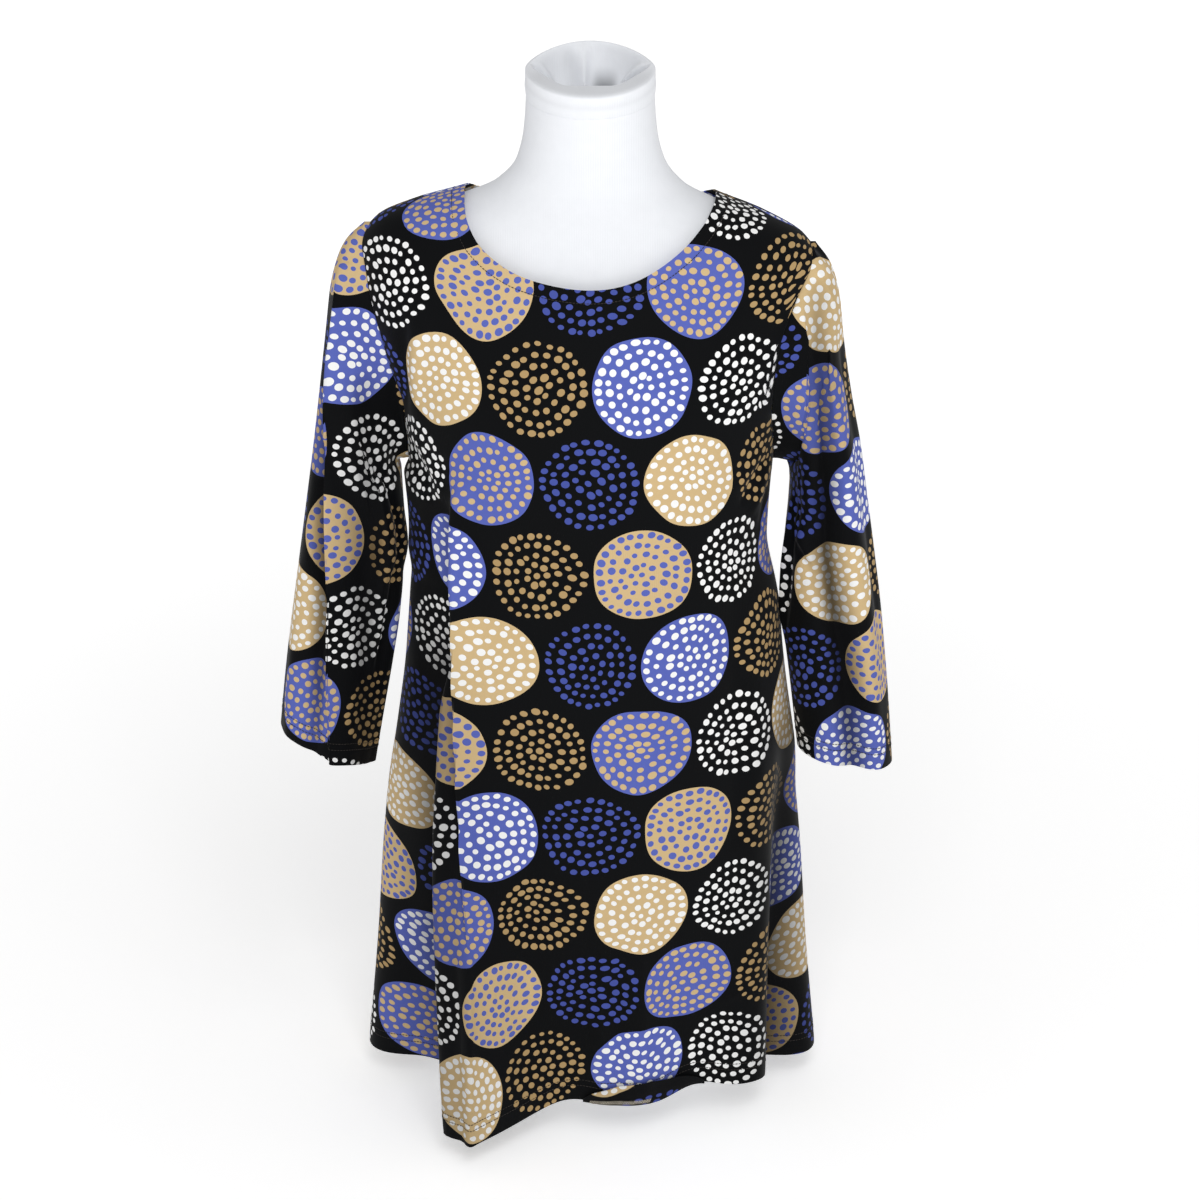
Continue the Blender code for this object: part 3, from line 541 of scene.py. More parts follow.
def panel_grid(face):
    """Side angles and heights of the panel's grid, in rows from the hem to the top edge."""
    edge = top_edge(face)
    columns, half = len(edge) - 1, ARMHOLE_STEPS // 2
    steps = [share / half for share in ARMHOLE_SHARES for _ in range(half)]
    steps += [SHOULDER_SHARE / SHOULDER_STEPS] * SHOULDER_STEPS
    middle = (1.0 - 2.0 * sum(steps)) / NECK_STEPS[face]
    narrow = np.cumsum([0.0] + steps + [middle] * NECK_STEPS[face] + steps[::-1])
    narrow[-1] = 1.0
    angles = np.linspace(-1.0, 1.0, SIDE_STEPS) * SIDE_ANGLE
    even, rows = np.linspace(0.0, 1.0, columns + 1), []
    for t in np.linspace(0.0, 1.0, SKIRT_ROWS + 1):
        height = HEM_HEIGHT + (CHEST_HEIGHT - HEM_HEIGHT) * t
        lengths = run_lengths(cloth_point(ring_angle(face, angles), height))
        fractions = even + (narrow - even) * smooth(0.0, 1.0, t)
        row = np.interp(fractions * lengths[-1], lengths, angles)
        rows.append(np.stack([row, np.full_like(row, height)], -1))
    # above the chest a few rows are smoothed on the flat cloth and then cut into even lengths
    start, end = (np.stack([ring_length(face, line[:, 0], line[:, 1]), line[:, 1]], -1)
                  for line in (rows[-1], edge))
    t = np.linspace(0.0, 1.0, FLAT_ROWS + 1)[:, None]
    outermost = np.minimum(np.arange(columns + 1), columns - np.arange(columns + 1)) <= half
    lean = np.stack([np.where(outermost, t, t ** FLAT_LEAN), np.tile(t, columns + 1)], -1)
    grid = start + (end - start) * lean
    for _ in range(FLAT_ROUNDS):
        left, right, below, above = grid[1:-1, :-2], grid[1:-1, 2:], grid[:-2, 1:-1], grid[2:, 1:-1]
        across, up = (right - left) / 2.0, (above - below) / 2.0
        skew = grid[2:, 2:] - grid[2:, :-2] - grid[:-2, 2:] + grid[:-2, :-2]
        a, b, c = [(one * other).sum(-1, keepdims=True)
                   for one, other in ((across, across), (up, up), (across, up))]
        grid[1:-1, 1:-1] = (((right + left) * b + (above + below) * a - skew * (c / 2.0))
                            / (2.0 * (a + b)))
    worn = np.stack([worn_angle(face, grid[..., 0], grid[..., 1]), grid[..., 1]], -1)
    worn[0], worn[-1] = rows[-1], edge
    lines = np.stack([even_run(face, worn[:, i], CHEST_ROWS) for i in range(columns + 1)], 1)
    lines[-1] = edge
    return np.concatenate([np.array(rows), lines[1:]])


# lengths of cloth over the whole tunic, so that the print keeps its scale on every fold
MAP_TOP, MAP_ROWS, MAP_COLUMNS = 0.870, 320, 1441
map_heights = np.linspace(HEM_HEIGHT, MAP_TOP, MAP_ROWS)
map_angles = np.linspace(-math.pi, math.pi, MAP_COLUMNS)
worn_map = cloth_point(map_angles, map_heights[:, None])
hang = hang_share(map_heights[:, None])
plain_map = worn_map * (1.0 - hang) + ring_point(read_skirt, map_angles, map_heights[:, None]) * hang
around_map, up_map = run_lengths(worn_map, 1), run_lengths(plain_map, 0)


def grid_value(values, row, column):
    """A grid's value at a place between its rows and columns."""
    j = np.clip(row.astype(int), 0, values.shape[0] - 2)
    i = np.clip(column.astype(int), 0, values.shape[1] - 2)
    t, s = row - j, column - i
    low = values[j, i] * (1.0 - s) + values[j, i + 1] * s
    high = values[j + 1, i] * (1.0 - s) + values[j + 1, i + 1] * s
    return low * (1.0 - t) + high * t


def read_map(values, angle, height):
    row = (height - HEM_HEIGHT) / (map_heights[1] - HEM_HEIGHT)
    column = (angle + math.pi) / (map_angles[1] + math.pi)
    return grid_value(values, np.clip(row, 0.0, len(map_heights) - 1.0), column)


def flat_uv(face, side, height):
    """Place of each point on the flat cloth, from the centre line and the hem."""
    angle = (ring_angle(face, side) + math.pi) % (2.0 * math.pi) - math.pi
    if face == "back":
        angle = np.where(side < 0.0, -np.abs(angle), np.abs(angle))
        centre = np.where(side < 0.0, -math.pi, math.pi)
        across = read_map(around_map, centre, height) - read_map(around_map, angle, height)
    else:
        across = read_map(around_map, angle, height) - read_map(around_map, 0.0 * angle, height)
    return np.stack([across, read_map(up_map, angle, height)], -1)


# the first two are the trough depths where painted shade begins and where it is full
SHADED_TROUGH_DEPTH, FULLY_SHADED_TROUGH_DEPTH, CREASE_POWER, FACING_SHARE = 0.0045, 0.0110, 0.45, 0.35


def creased(points, normals, front, creases, free=1.0):
    """Moves points by troughs and ridges drawn in the x-z plane, on their front or back half.

    Where free is 0 a seam holds them. Also gives the painted shade of each point in a deep trough, 0 to
    1."""
    moved = points.copy()
    facing = smooth(0.0, FACING_SHARE, normals[..., 1] * (-1.0 if front else 1.0))
    sunk = np.zeros(facing.shape)
    for row in creases:
        *path, half_width, depth, lean = metres(row)
        path = np.reshape(path, (-1, 2))
        ends = run_lengths(path)
        near, t = np.full(facing.shape, np.inf), np.zeros(facing.shape)
        for start, along, begun in zip(path, np.diff(path, axis=0), ends):
            place = points[..., [0, 2]] - start
            share = np.clip((place @ along) / (along @ along), 0.0, 1.0)
            away = np.linalg.norm(place - share[..., None] * along, axis=-1)
            t = np.where(away < near, (begun + share * np.linalg.norm(along)) / ends[-1], t)
            near = np.minimum(away, near)
        rise = np.exp(-(near / half_width) ** 2) * np.sin(math.pi * t) ** CREASE_POWER * facing * free
        moved += (normals * depth + [lean, 0.0, 0.0]) * rise[..., None]
        # deep troughs get painted shade, more the deeper they are
        if depth < -SHADED_TROUGH_DEPTH:
            sunk = np.maximum(sunk, rise * min(1.0, -depth / FULLY_SHADED_TROUGH_DEPTH))
    return moved, sunk


FLATTEN_SHARE = 0.95  # of each round's push, which keeps the rounds from swinging


def grid_steps(grid):
    """A grid's steps across and down, and both as means over each of its squares."""
    across, down = np.diff(grid, axis=1), np.diff(grid, axis=0)
    return across, down, (across[:-1] + across[1:]) / 2.0, (down[:, :-1] + down[:, 1:]) / 2.0


def flattened(points, flat, rounds):
    """Relaxes places on the flat cloth until each small square is as wide and long as on the
    piece, and turned but not mirrored."""
    _, _, across, down = grid_steps(points)
    wide = np.linalg.norm(across, axis=-1)
    lean = (across * down).sum(-1) / wide
    deep = np.sqrt(np.maximum((down ** 2).sum(-1) - lean ** 2, 1e-14))
    flat = flat[..., 0] + 1j * flat[..., 1]
    across, down, _, _ = grid_steps(flat)
    deep *= np.sign(np.median((across[:-1].conj() * down[:, :-1]).imag))
    count = np.full(flat.shape, 4.0)
    count[[0, -1]] -= 1.0
    count[:, [0, -1]] -= 1.0
    in_rows, in_columns = ((0, 0), (1, 1)), ((1, 1), (0, 0))
    for _ in range(rounds):
        across, down, mean_across, mean_down = grid_steps(flat)
        # the turn that fits best, from the square's stretch in its own frame
        stretch = mean_across / wide
        turn = stretch - 1j * (mean_down - lean * stretch) / deep
        turn /= np.maximum(np.abs(turn), 1e-12)
        wanted = np.pad(wide * turn, in_columns, "edge")
        across = np.pad(across - (wanted[:-1] + wanted[1:]) / 2.0, in_rows)
        wanted = np.pad((lean + 1j * deep) * turn, in_rows, "edge")
        down = np.pad(down - (wanted[:, :-1] + wanted[:, 1:]) / 2.0, in_columns)
        flat = flat + (np.diff(across, axis=1) + down[1:] - down[:-1]) / count * FLATTEN_SHARE
    return np.stack([flat.real, flat.imag], -1)


def grid_normals(points, sign, tube=False):
    """Outward normals of a grid; sign is -1 where its columns run clockwise seen from above."""
    across, up = np.gradient(points, axis=1), np.gradient(points, axis=0)
    if tube:
        across[:, 0] = across[:, -1] = (points[:, 1] - points[:, -2]) / 2.0
    return unit(np.cross(across, up)) * sign


def cloth_shell(name, middle, normals, uv, marks, material, tube=False, flip=False):
    """A thin closed shell round a grid of points, its outside on the side of the normals.

    A tube's last column repeats its first one, which closes it along a seam."""
    rows, columns = middle.shape[:2]
    across = columns - 1 if tube else columns
    walls = [(middle + normals * wall)[:, :across].reshape(-1, 3)
             for wall in (WALL_INSIDE, WALL_OUTSIDE)]
    marks = {key: np.tile(value[:, :across].ravel(), 2) for key, value in marks.items()}
    rim = [[(0, i) for i in range(columns)], [(rows - 1, i) for i in range(columns - 1, -1, -1)]]
    if not tube:
        rim = [rim[0] + [(j, columns - 1) for j in range(1, rows - 1)] + rim[1]
               + [(j, 0) for j in range(rows - 2, -1, -1)]]
    faces, corners = [], []
    for store, wide in ((faces, across), (corners, columns)):
        count = rows * wide
        store += strip_faces(rows, wide, closed=wide < columns, flip=True)
        store += strip_faces(rows, wide, count, closed=wide < columns)
        for line in rim:
            places = [j * wide + i % wide for j, i in line]
            store += [[a, b, b + count, a + count] for a, b in zip(places, places[1:])]
    piece = add_piece(name, np.vstack(walls), faces, material,
                      np.tile(uv.reshape(-1, 2), (2, 1))[np.concatenate(corners)], marks)
    if flip:
        piece.data.flip_normals()
    return piece


# viscose and elastane single jersey, reactive printed: matte, with a slight sheen on the
# folds. A generic print of round patches, each of rings of pebble-like dots: filled patches
# and open ones take turns, and every second row is set half a patch aside.
PITCH_ACROSS, PITCH_UP, PATCH_ACROSS, PATCH_UP = 0.0880, 0.0800, 0.0425, 0.0400
RING_STEP, LAST_RING, DOTS_PER_RING, DOT_ACROSS, DOT_UP = 0.2230, 4.0, 6.7, 0.0030, 0.0026
WANDER, DOT_SHIFT, DOT_SMALLEST, DOT_SPREAD = 0.0112, 0.045, 0.78, 0.42
CHANCE_CELLS, FULL_TURN = (31.0, 17.0, 5.0), 2.0 * math.pi
jersey, tree, shader = new_material("printed_viscose_jersey", Roughness=0.75, Sheen_Weight=0.05,
                                    Specular_IOR_Level=0.08, Sheen_Roughness=0.4)
flat = add_node(tree, "ShaderNodeUVMap", uv_map="cloth")
drift = add_node(tree, "ShaderNodeTexNoise", {"Vector": flat, "Scale": 17.0, "Detail": 0.5},
                 out="Color", noise_dimensions="2D")
drift = add_node(tree, "vector MULTIPLY", ("vector SUBTRACT", drift, (0.5,) * 3), (WANDER,) * 3)
drawn = add_node(tree, "vector ADD", flat, drift)
across = add_node(tree, "ShaderNodeSeparateXYZ", drawn)
row = add_node(tree, "FLOOR", ("DIVIDE", across.node.outputs["Y"], PITCH_UP))
aside = add_node(tree, "MULTIPLY", ("FLOORED_MODULO", row, 2.0), 0.5)
column = add_node(tree, "FLOOR", ("MULTIPLY_ADD", across, 1.0 / PITCH_ACROSS, aside))
cell = add_node(tree, "ShaderNodeCombineXYZ", column, row)
centre = add_node(tree, "ShaderNodeCombineXYZ", ("SUBTRACT", ("ADD", column, 0.5), aside),
                  ("ADD", row, 0.5))
local = ("vector SUBTRACT", drawn, ("vector MULTIPLY", centre, (PITCH_ACROSS, PITCH_UP, 0.0)))
local = add_node(tree, "vector MULTIPLY", local, (1.0 / PATCH_ACROSS, 1.0 / PATCH_UP, 0.0))
reach = add_node(tree, "vector LENGTH", local, out="Value")
patch_mask = add_node(tree, "LESS_THAN", reach, 1.0)
# the dots of a patch: each ring is turned by its own angle, each dot moved and sized by chance
ring = add_node(tree, "MINIMUM", ("ROUND", ("DIVIDE", reach, RING_STEP)), LAST_RING)
in_ring = add_node(tree, "MAXIMUM", ("ROUND", ("MULTIPLY", ring, DOTS_PER_RING)), 1.0)
ring_cell = add_node(tree, "vector ADD", cell, ("ShaderNodeCombineXYZ", 0.0, 0.0, ring))
ring_turn = add_node(tree, "ShaderNodeTexWhiteNoise", ring_cell, noise_dimensions="3D")
side = add_node(tree, "ShaderNodeSeparateXYZ", local)
turn = add_node(tree, "ADD", ("DIVIDE", ("ARCTAN2", side.node.outputs["Y"], side), FULL_TURN), ring_turn)
dot = add_node(tree, "FLOORED_MODULO", ("FLOOR", ("MULTIPLY", turn, in_ring)), in_ring)
dot_turn = ("SUBTRACT", ("DIVIDE", ("ADD", dot, 0.5), in_ring), ring_turn)
dot_turn = add_node(tree, "MULTIPLY", dot_turn, FULL_TURN)
dot_place = add_node(tree, "ShaderNodeCombineXYZ", ("COSINE", dot_turn), ("SINE", dot_turn))
dot_place = add_node(tree, "vector SCALE", {0: dot_place, "Scale": ("MULTIPLY", ring, RING_STEP)})
dot_cell = add_node(tree, "vector MULTIPLY_ADD", ring_cell, CHANCE_CELLS,
                    ("ShaderNodeCombineXYZ", dot, 0.0, dot))
chance = add_node(tree, "ShaderNodeTexWhiteNoise", dot_cell, out="Color", noise_dimensions="3D")
moved = ("vector MULTIPLY", ("vector SUBTRACT", chance, (0.5,) * 3), (DOT_SHIFT, DOT_SHIFT, 0.0))
dot_away = ("vector SUBTRACT", local, ("vector ADD", dot_place, moved))
dot_away = ("vector MULTIPLY", dot_away, (PATCH_ACROSS / DOT_ACROSS, PATCH_UP / DOT_UP, 0.0))
dot_away = add_node(tree, "vector LENGTH", dot_away, out="Value")
dot_mask = add_node(tree, "LESS_THAN", dot_away,
                    ("MULTIPLY_ADD", chance.node.outputs["Value"], DOT_SPREAD, DOT_SMALLEST))
# which of the four filled or three open colourings a patch has
both = add_node(tree, "ADD", column, row)
filled = add_node(tree, "SUBTRACT", 1.0, ("FLOORED_MODULO", both, 2.0))
order = add_node(tree, "ADD", ("FLOOR", ("MULTIPLY", both, 0.5)), row)
quarter, third = (add_node(tree, "MULTIPLY_ADD", ("FLOORED_MODULO", order, n), 1.0 / n, 0.5 / n)
                  for n in (4.0, 3.0))
BLUE, TAN, WHITE, DEEP_BLUE, BROWN = [linear(c) for c in ("5966b5", "ceb385", "f2f2f1", "46539f",
                                                          "b09366")]
ramps = []
for choice, colours in ((quarter, (BLUE, TAN, BLUE, TAN)), (quarter, (WHITE, BLUE, TAN, WHITE)),
                        (third, (WHITE, DEEP_BLUE, BROWN))):
    ramps.append(add_node(tree, "ShaderNodeValToRGB", choice))
    stops = ramps[-1].node.color_ramp
    stops.interpolation = "CONSTANT"
    for n, colour in enumerate(colours):
        stop = stops.elements[n] if n < 2 else stops.elements.new(n / len(colours))
        stop.position = n / len(colours)
        stop.color = colour
patch_colour, dot_colour, open_dot_colour = ramps
dot_colour = add_node(tree, "ShaderNodeMix", {0: filled, 6: open_dot_colour, 7: dot_colour}, out=2,
                      data_type="RGBA")
# the black ground, then the patches, the dots, and painted shade deep in a fold, which darkens the print
printed = linear("08090b")
sunk = add_node(tree, "ShaderNodeAttribute", out="Fac", attribute_name="sunk")
for mask, colour in ((("MULTIPLY", patch_mask, filled), patch_colour), (dot_mask, dot_colour),
                     (("MULTIPLY", sunk, 0.88), linear("050507"))):
    printed = add_node(tree, "ShaderNodeMix", {0: mask, 6: printed, 7: colour}, out=2, data_type="RGBA")
tree.links.new(printed, shader.inputs["Base Color"])
# single jersey has about 14 wales to the centimetre: drawn at 0.9 mm, which still shows
wales = add_node(tree, "ShaderNodeTexWave", {"Vector": ("vector MULTIPLY", flat, (1.0, 0.55, 0.0)),
                                             "Scale": 175.0, "Distortion": 0.6},
                 out="Fac", wave_type="BANDS", bands_direction="X")
grain = add_node(tree, "ShaderNodeTexNoise", {"Vector": flat, "Scale": 420.0, "Detail": 2.0},
                 noise_dimensions="2D")
relief = add_node(tree, "MULTIPLY_ADD", grain, 0.8, wales)
# the stitched lines of the turned edges press a narrow groove into the cloth
TWIN_LINES, NECK_LINE, GROOVE_WIDTH, GROOVE_DEPTH = (0.015, 0.021), 0.011, 0.0016, 5.0
for mark, line in (*(("from_hem", line) for line in TWIN_LINES), ("from_neck", NECK_LINE),
                   ("from_seam", 0.0)):
    away = add_node(tree, "ShaderNodeAttribute", out="Fac", attribute_name=mark)
    groove = add_node(tree, "ShaderNodeMapRange", {
        "Value": ("ABSOLUTE", ("SUBTRACT", away, line)), "From Min": 0.0, "From Max": GROOVE_WIDTH,
        "To Min": -GROOVE_DEPTH, "To Max": 0.0}, interpolation_type="SMOOTHSTEP")
    relief = add_node(tree, "ADD", relief, groove)
bump = add_node(tree, "ShaderNodeBump", {"Height": relief, "Strength": 0.35, "Distance": 0.0001})
tree.links.new(bump, shader.inputs["Normal"])

CREASES = {
    "front": (
        # mm: path of x and z, half_width, depth, lean
        (-134, 640, -130, -200, 20, 0, 19),
        (-108, 620, -109, 200, 8, 6, -12),
        (-125, 600, -126, 200, 8.5, -8, 0),
        (-123, 625, -119, 555, 12, 3, 0),
        (101, 812, 109.1, 645, 3, -0.9, 0),
        (96, 812, 104.1, 645, 4, 0.7, 0),
        (152, 618, 136, 578, 4.5, 3, 0),
        (148, 626, 126, 592, 4, -2.6, 0),
        (143, 634, 118, 606, 4.5, 2.2, 0),
        (156, 604, 146, 560, 4, -2.6, 0),
        (159, 595, 153, 545, 4, 2.2, 0),
        (-155.3, 755, -158.5, 655, 6, -3.2, 0),
        (-145, 760, -148, 640, 7, 2.2, 0),
        (-158, 640, -139, 590, 6, -3, 0),
        (-150, 650, -129, 600, 6, 2.4, 0),
        (-169, 124, -140, 128, 2.2, -0.8, 0),
        (114.4, 127, 141.3, 136, 2.5, 1, 0),
        (10, 190, 8, 50, 6, 2.2, 0),
        (25, 210, 24, 40, 6.5, -3, 0),
        (43, 200, 47, 45, 7, 3, 0),
        (70, 260, 76, 50, 9, -2, 0),
        (-50, 420, -62, 60, 14, -2.8, 0),
        (135, 470, 145, 240, 9, 2.6, 0),
        (120, 520, 126, 280, 9, -2.4, 0),
    ),
    "back": (
        (-156, 750, -150, 650, 6, -3, 0),
        (154, 760, 150, 650, 7, -2.8, 0),
        (142, 745, 136, 640, 7, 2.2, 0),
        (-147, 628, -122, 590, 5, -2.6, 0),
        (-154, 612, -130, 570, 5.5, 2.6, 0),
        (150, 622, 124, 596, 5, -2.6, 0),
        (156, 606, 134, 566, 5, 2.4, 0),
        (-56, 780, -60, 610, 3, -0.8, 0),
        (24, 430, 29, 70, 10, -2.6, 0),
        (-22, 390, -29, 60, 9, 2.4, 0),
        (-101, 300, -112, 60, 8, -2.4, 0),
        (98, 340, 108, 60, 8, 2.4, 0),
        (54, 128, 86, 121, 2.5, -0.9, 0),
    ),
}
CUT = {"front": (0.69, 0.89, 0.405), "back": (0.63, 0.88, 0.385)}
FLIPPED_HEM = (
    # mm: x, height of the turned-up allowance that shows
    (-9, 0.4), (1, 10), (10, 15), (25, 19.5), (50, 24), (64, 20.5), (80, 14.5), (93, 8.5),
    (106, 0.4),
)
FLIPPED_ROWS, FLIP_GAP, FLIP_RISE, FLIP_FULL, FLIP_DROP = 16, 0.0006, 0.0022, 0.010, 0.0010
FLIPPED_UV, FLIPPED_SHADE = (1.31, 1.77), 0.2


def nearest(points, line, finer=6):
    """Distance of each point from a line, which is first cut finer."""
    line = resampled(line, np.linspace(0.0, len(line) - 1.0, finer * len(line)))
    return np.min(np.linalg.norm(points[..., None, :] - line, axis=-1), axis=-1)


def flipped_hem(middle, normals, up, uv):
    """The part of the hem that rolled outwards: its allowance, which lies on the panel's face."""
    reach_x, reach_up = metres(FLIPPED_HEM).T
    share, columns = np.linspace(0.0, 1.0, FLIPPED_ROWS), []
    for i in np.flatnonzero((middle[0, :, 0] > reach_x[0]) & (middle[0, :, 0] < reach_x[-1])):
        height = np.interp(middle[0, i, 0], reach_x, reach_up)
        line = resampled(np.hstack([middle[:, i], normals[:, i]]), share * height, up[:, i])
        lift = FLIP_GAP + FLIP_RISE * np.sqrt(share) * min(1.0, height / FLIP_FULL)
        line[:, :3] += line[:, 3:] * (WALL_OUTSIDE + lift)[:, None]
        line[0, 2] -= FLIP_DROP
        columns.append(np.column_stack([line, np.full(FLIPPED_ROWS, uv[0, i, 0] + FLIPPED_UV[0]),
                                        FLIPPED_UV[1] - share * height]))
    places, facing, flat = np.split(np.swapaxes(columns, 0, 1), [3, 6], axis=-1)
    marks = {mark: np.ones(places.shape[:2]) for mark in ("from_hem", "from_neck", "from_seam")}
    # painted shade over the whole turned-up allowance
    marks["sunk"] = np.full(places.shape[:2], FLIPPED_SHADE)
    return cloth_shell("flipped_hem_allowance", places, facing, flat, marks, jersey), places, facing


# where the sides swell out until they all but touch the sleeves
SIDE_SWELLS = (
    # side; mm: z where it starts and is full, z where it is full and ends, body, sleeve
    (-1, 505, 535, 598, 613, 5.7, 5.3),
    (1, 285, 350, 470, 540, 6, 0),
)
BODY_SWELL_X, SLEEVE_SWELL_X = (0.100, 0.150), (0.178, 0.215)


def side_swell(points, piece):
    shift = np.zeros(points.shape[:-1])
    for sign, *sizes in SIDE_SWELLS:
        start, low, high, end, body, sleeve = metres(sizes)
        height = smooth(start, low, points[..., 2]) * (1.0 - smooth(high, end, points[..., 2]))
        out = points[..., 0] * sign
        if piece == "body":
            shift += sign * body * height * smooth(*BODY_SWELL_X, out)
        else:
            shift -= sign * sleeve * height * (1.0 - smooth(*SLEEVE_SWELL_X, out)) * (out > 0.0)
    return shift


FORM_CLEARANCE, CLEARED_HEIGHT = 0.0025, 0.660


def clear_of_form(points):
    """Brings the cloth back out where a trough would sink it into the form."""
    half_width, front, back = np.moveaxis(read_form(points[..., 2]), -1, 0)
    depth = np.where(points[..., 1] < 0.0, front, back)
    reach = np.hypot(points[..., 0] / half_width, points[..., 1] / depth)
    wanted = 1.0 + FORM_CLEARANCE / np.minimum(half_width, depth)
    grown = np.where(points[..., 2] < CLEARED_HEIGHT, np.maximum(1.0, wanted / reach), 1.0)
    return points * np.stack([grown, grown, np.ones_like(grown)], -1)


FIRST_NECK, NECK_ROWS, SEAM_ROWS, PANEL_ROUNDS = ARMHOLE_STEPS + SHOULDER_STEPS, 30, 12, 150
panels = {}
for face, sign, uv_shift in (("front", 1.0, 0.0), ("back", -1.0, 3.0)):
    side, height = np.moveaxis(panel_grid(face), -1, 0)
    angles = ring_angle(face, side)
    # the creases move the cloth, and painted shade is laid in their deep troughs and in those of the
    # hanging folds
    middle, sunk = creased(cloth_point(angles, height), normal_of(cloth_point, angles, height),
                           face == "front", CREASES[face])
    sunk = np.maximum(sunk, skirt_trough_painted_shade(angles, height))
    middle[..., 0] += side_swell(middle, "body")
    middle = clear_of_form(middle)
    normals = grid_normals(middle, sign)
    up, across = run_lengths(middle, 0), run_lengths(middle, 1)
    from_neck, from_seam = np.ones(up.shape), np.minimum(across, across[:, -1:] - across)
    from_neck[-NECK_ROWS:] = nearest(middle[-NECK_ROWS:], middle[-1, FIRST_NECK:-FIRST_NECK])
    for sewn in (slice(0, FIRST_NECK), slice(-FIRST_NECK, None)):
        from_top = nearest(middle[-SEAM_ROWS:, sewn], middle[-1, sewn])
        from_seam[-SEAM_ROWS:, sewn] = np.minimum(from_seam[-SEAM_ROWS:, sewn], from_top)
    marks = {"from_hem": up, "from_neck": from_neck, "from_seam": from_seam, "sunk": sunk}
    uv = flattened(middle, flat_uv(face, side, height), PANEL_ROUNDS) + uv_shift
    panel = cloth_shell("tunic_" + face, middle, normals, uv, marks, jersey, flip=face == "back")
    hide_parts(face)
    width, length, area = CUT[face]
    if face == "front":
        flipped, flipped_points, flipped_facing = flipped_hem(middle, normals, up, uv)
        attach(flipped, "root")
    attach(panel, "root")
    panels[face] = (middle, normals, marks)


# ---- sleeves -------------------------------------------------------------------------------
# Set-in three-quarter sleeves of the same jersey, each cut in one piece and closed by a seam
# under the arm. They hang free from the armholes with long folds down their length.
SLEEVE_RINGS = {
    "right": (
        # mm: outer_x, outer_z, inner_x, inner_z, half_depth, centre_y
        (205, 808, 167, 616, 60, 2), (215, 793, 170, 614, 62, 2), (222.5, 764, 171.5, 604, 62, 1),
        (229, 722, 171, 588, 60, 0), (235.5, 675, 169, 564, 57, -2), (243, 622, 166, 537, 54, -4),
        (251, 570, 165.5, 508, 52, -6), (260.5, 510, 169, 470, 49, -8),
        (268.5, 460, 176.5, 425, 46, -10), (275, 415, 185.5, 378, 44, -12),
        (281, 366, 195, 327, 42, -14),
    ),
    "left": (
        (202, 803, 168, 616, 59, 2), (209, 785, 171.5, 615, 61, 2), (214, 756, 173, 606, 61, 1),
        (219, 716, 174.5, 592, 59, 0), (226.5, 672, 173.5, 571, 56, -2),
        (236, 626, 171.5, 546, 53, -4), (243.5, 578, 169.5, 518, 51, -6),
        (252, 524, 169, 485, 49, -8), (259, 476, 172.5, 450, 46, -10),
        (266, 414, 178.5, 405, 44, -12), (274, 329, 186.5, 343, 42, -14),
    ),
}
SLEEVE_FOLDS = {
    # path of (ring, degrees around from the outer edge to the front), half_width_deg; mm: depth,
    # lean
    "right": (
        (((1, 40), (3, 62), (5.3, 100), (8, 118)), 12, -3.5, 0),
        (((2.2, 96), (4, 128), (7.2, 142)), 13, 4, 0),
        (((2, 120), (4.5, 148), (9, 150)), 11, -6, 0),
        (((5.5, 30), (7.5, 34), (11, 44)), 14, 4, 0),
        (((3, 205), (6.5, 205), (11, 208)), 20, -6, 0),
        (((1.5, 240), (4.5, 246), (9.5, 238)), 13, 5, 4),
        (((1.5, 285), (5, 285), (11, 284)), 18, -8, 0),
        (((2.5, 318), (6, 322), (11.5, 312)), 14, 4, 0),
    ),
    "left": (
        (((1.2, 60), (4.7, 58), (7, 56), (10.5, 52)), 15, 5, 0),
        (((1.8, 28), (5, 24), (9.5, 20)), 13, -4, 0),
        (((1.4, 146), (3.6, 142), (6.2, 148)), 10, -5, 0),
        (((3, 160), (6, 164), (8.8, 162)), 12, 5, 0),
        (((1.5, 215), (5, 220), (9, 214)), 16, -5.5, 0),
        (((1.5, 250), (5, 248), (11, 252)), 12, 5, 4),
        (((1.5, 275), (5, 276), (11, 280)), 15, -9, 0),
        (((2.5, 318), (6, 312), (11, 318)), 14, 3.5, 0),
    ),
}
SLEEVE_CREASES = {
    # mm: path of x and z, half_width, depth, lean
    ("left", True): (
        (169.5, 790, 169.5, 600, 166.5, 540, 163.5, 430, 7.5, 7, 17.5),
        (195, 780, 197.5, 640, 202, 540, 210, 500, 224, 430, 236, 340, 242, 240, 12.5, -14, 0),
        (175, 640, 184, 560, 5, 3.4, 0),
        (180, 585, 192, 548, 4.5, -3.4, 0),
        (174, 566, 190, 530, 4.5, 3.6, 0),
        (178, 545, 193, 512, 4, -2.8, 0),
        (180, 690, 193, 610, 6, -3, 0),
        (202, 760, 215, 690, 8, -2.6, 0),
    ),
    ("left", False): (
        (176, 600, 192, 566, 5, 3, 0),
        (178, 574, 196, 540, 4.8, -3, 0),
        (195, 690, 210, 600, 8, -3, 0),
    ),
    ("right", True): (
        (-207, 790, -211, 640, -213.5, 500, -220, 420, -227, 300, 7, 6.5, -16),
        (-230, 780, -233, 640, -236.5, 500, -243, 420, -250, 330, 7, -9, 0),
        (-190, 700, -193, 636, -193, 528, -197, 413, -204, 300, 12.5, -9, 0),
        (-240, 600, -246, 520, 6, 2.4, 0),
    ),
    ("right", False): (
        (-178, 606, -195, 560, 5, 3, 0),
        (-180, 580, -198, 536, 5, -3, 0),
        (-200, 700, -214, 610, 8, -3, 0),
    ),
}
SLEEVE_CUT = {"left": (0.46, 0.49, 0.112), "right": (0.46, 0.49, 0.118)}
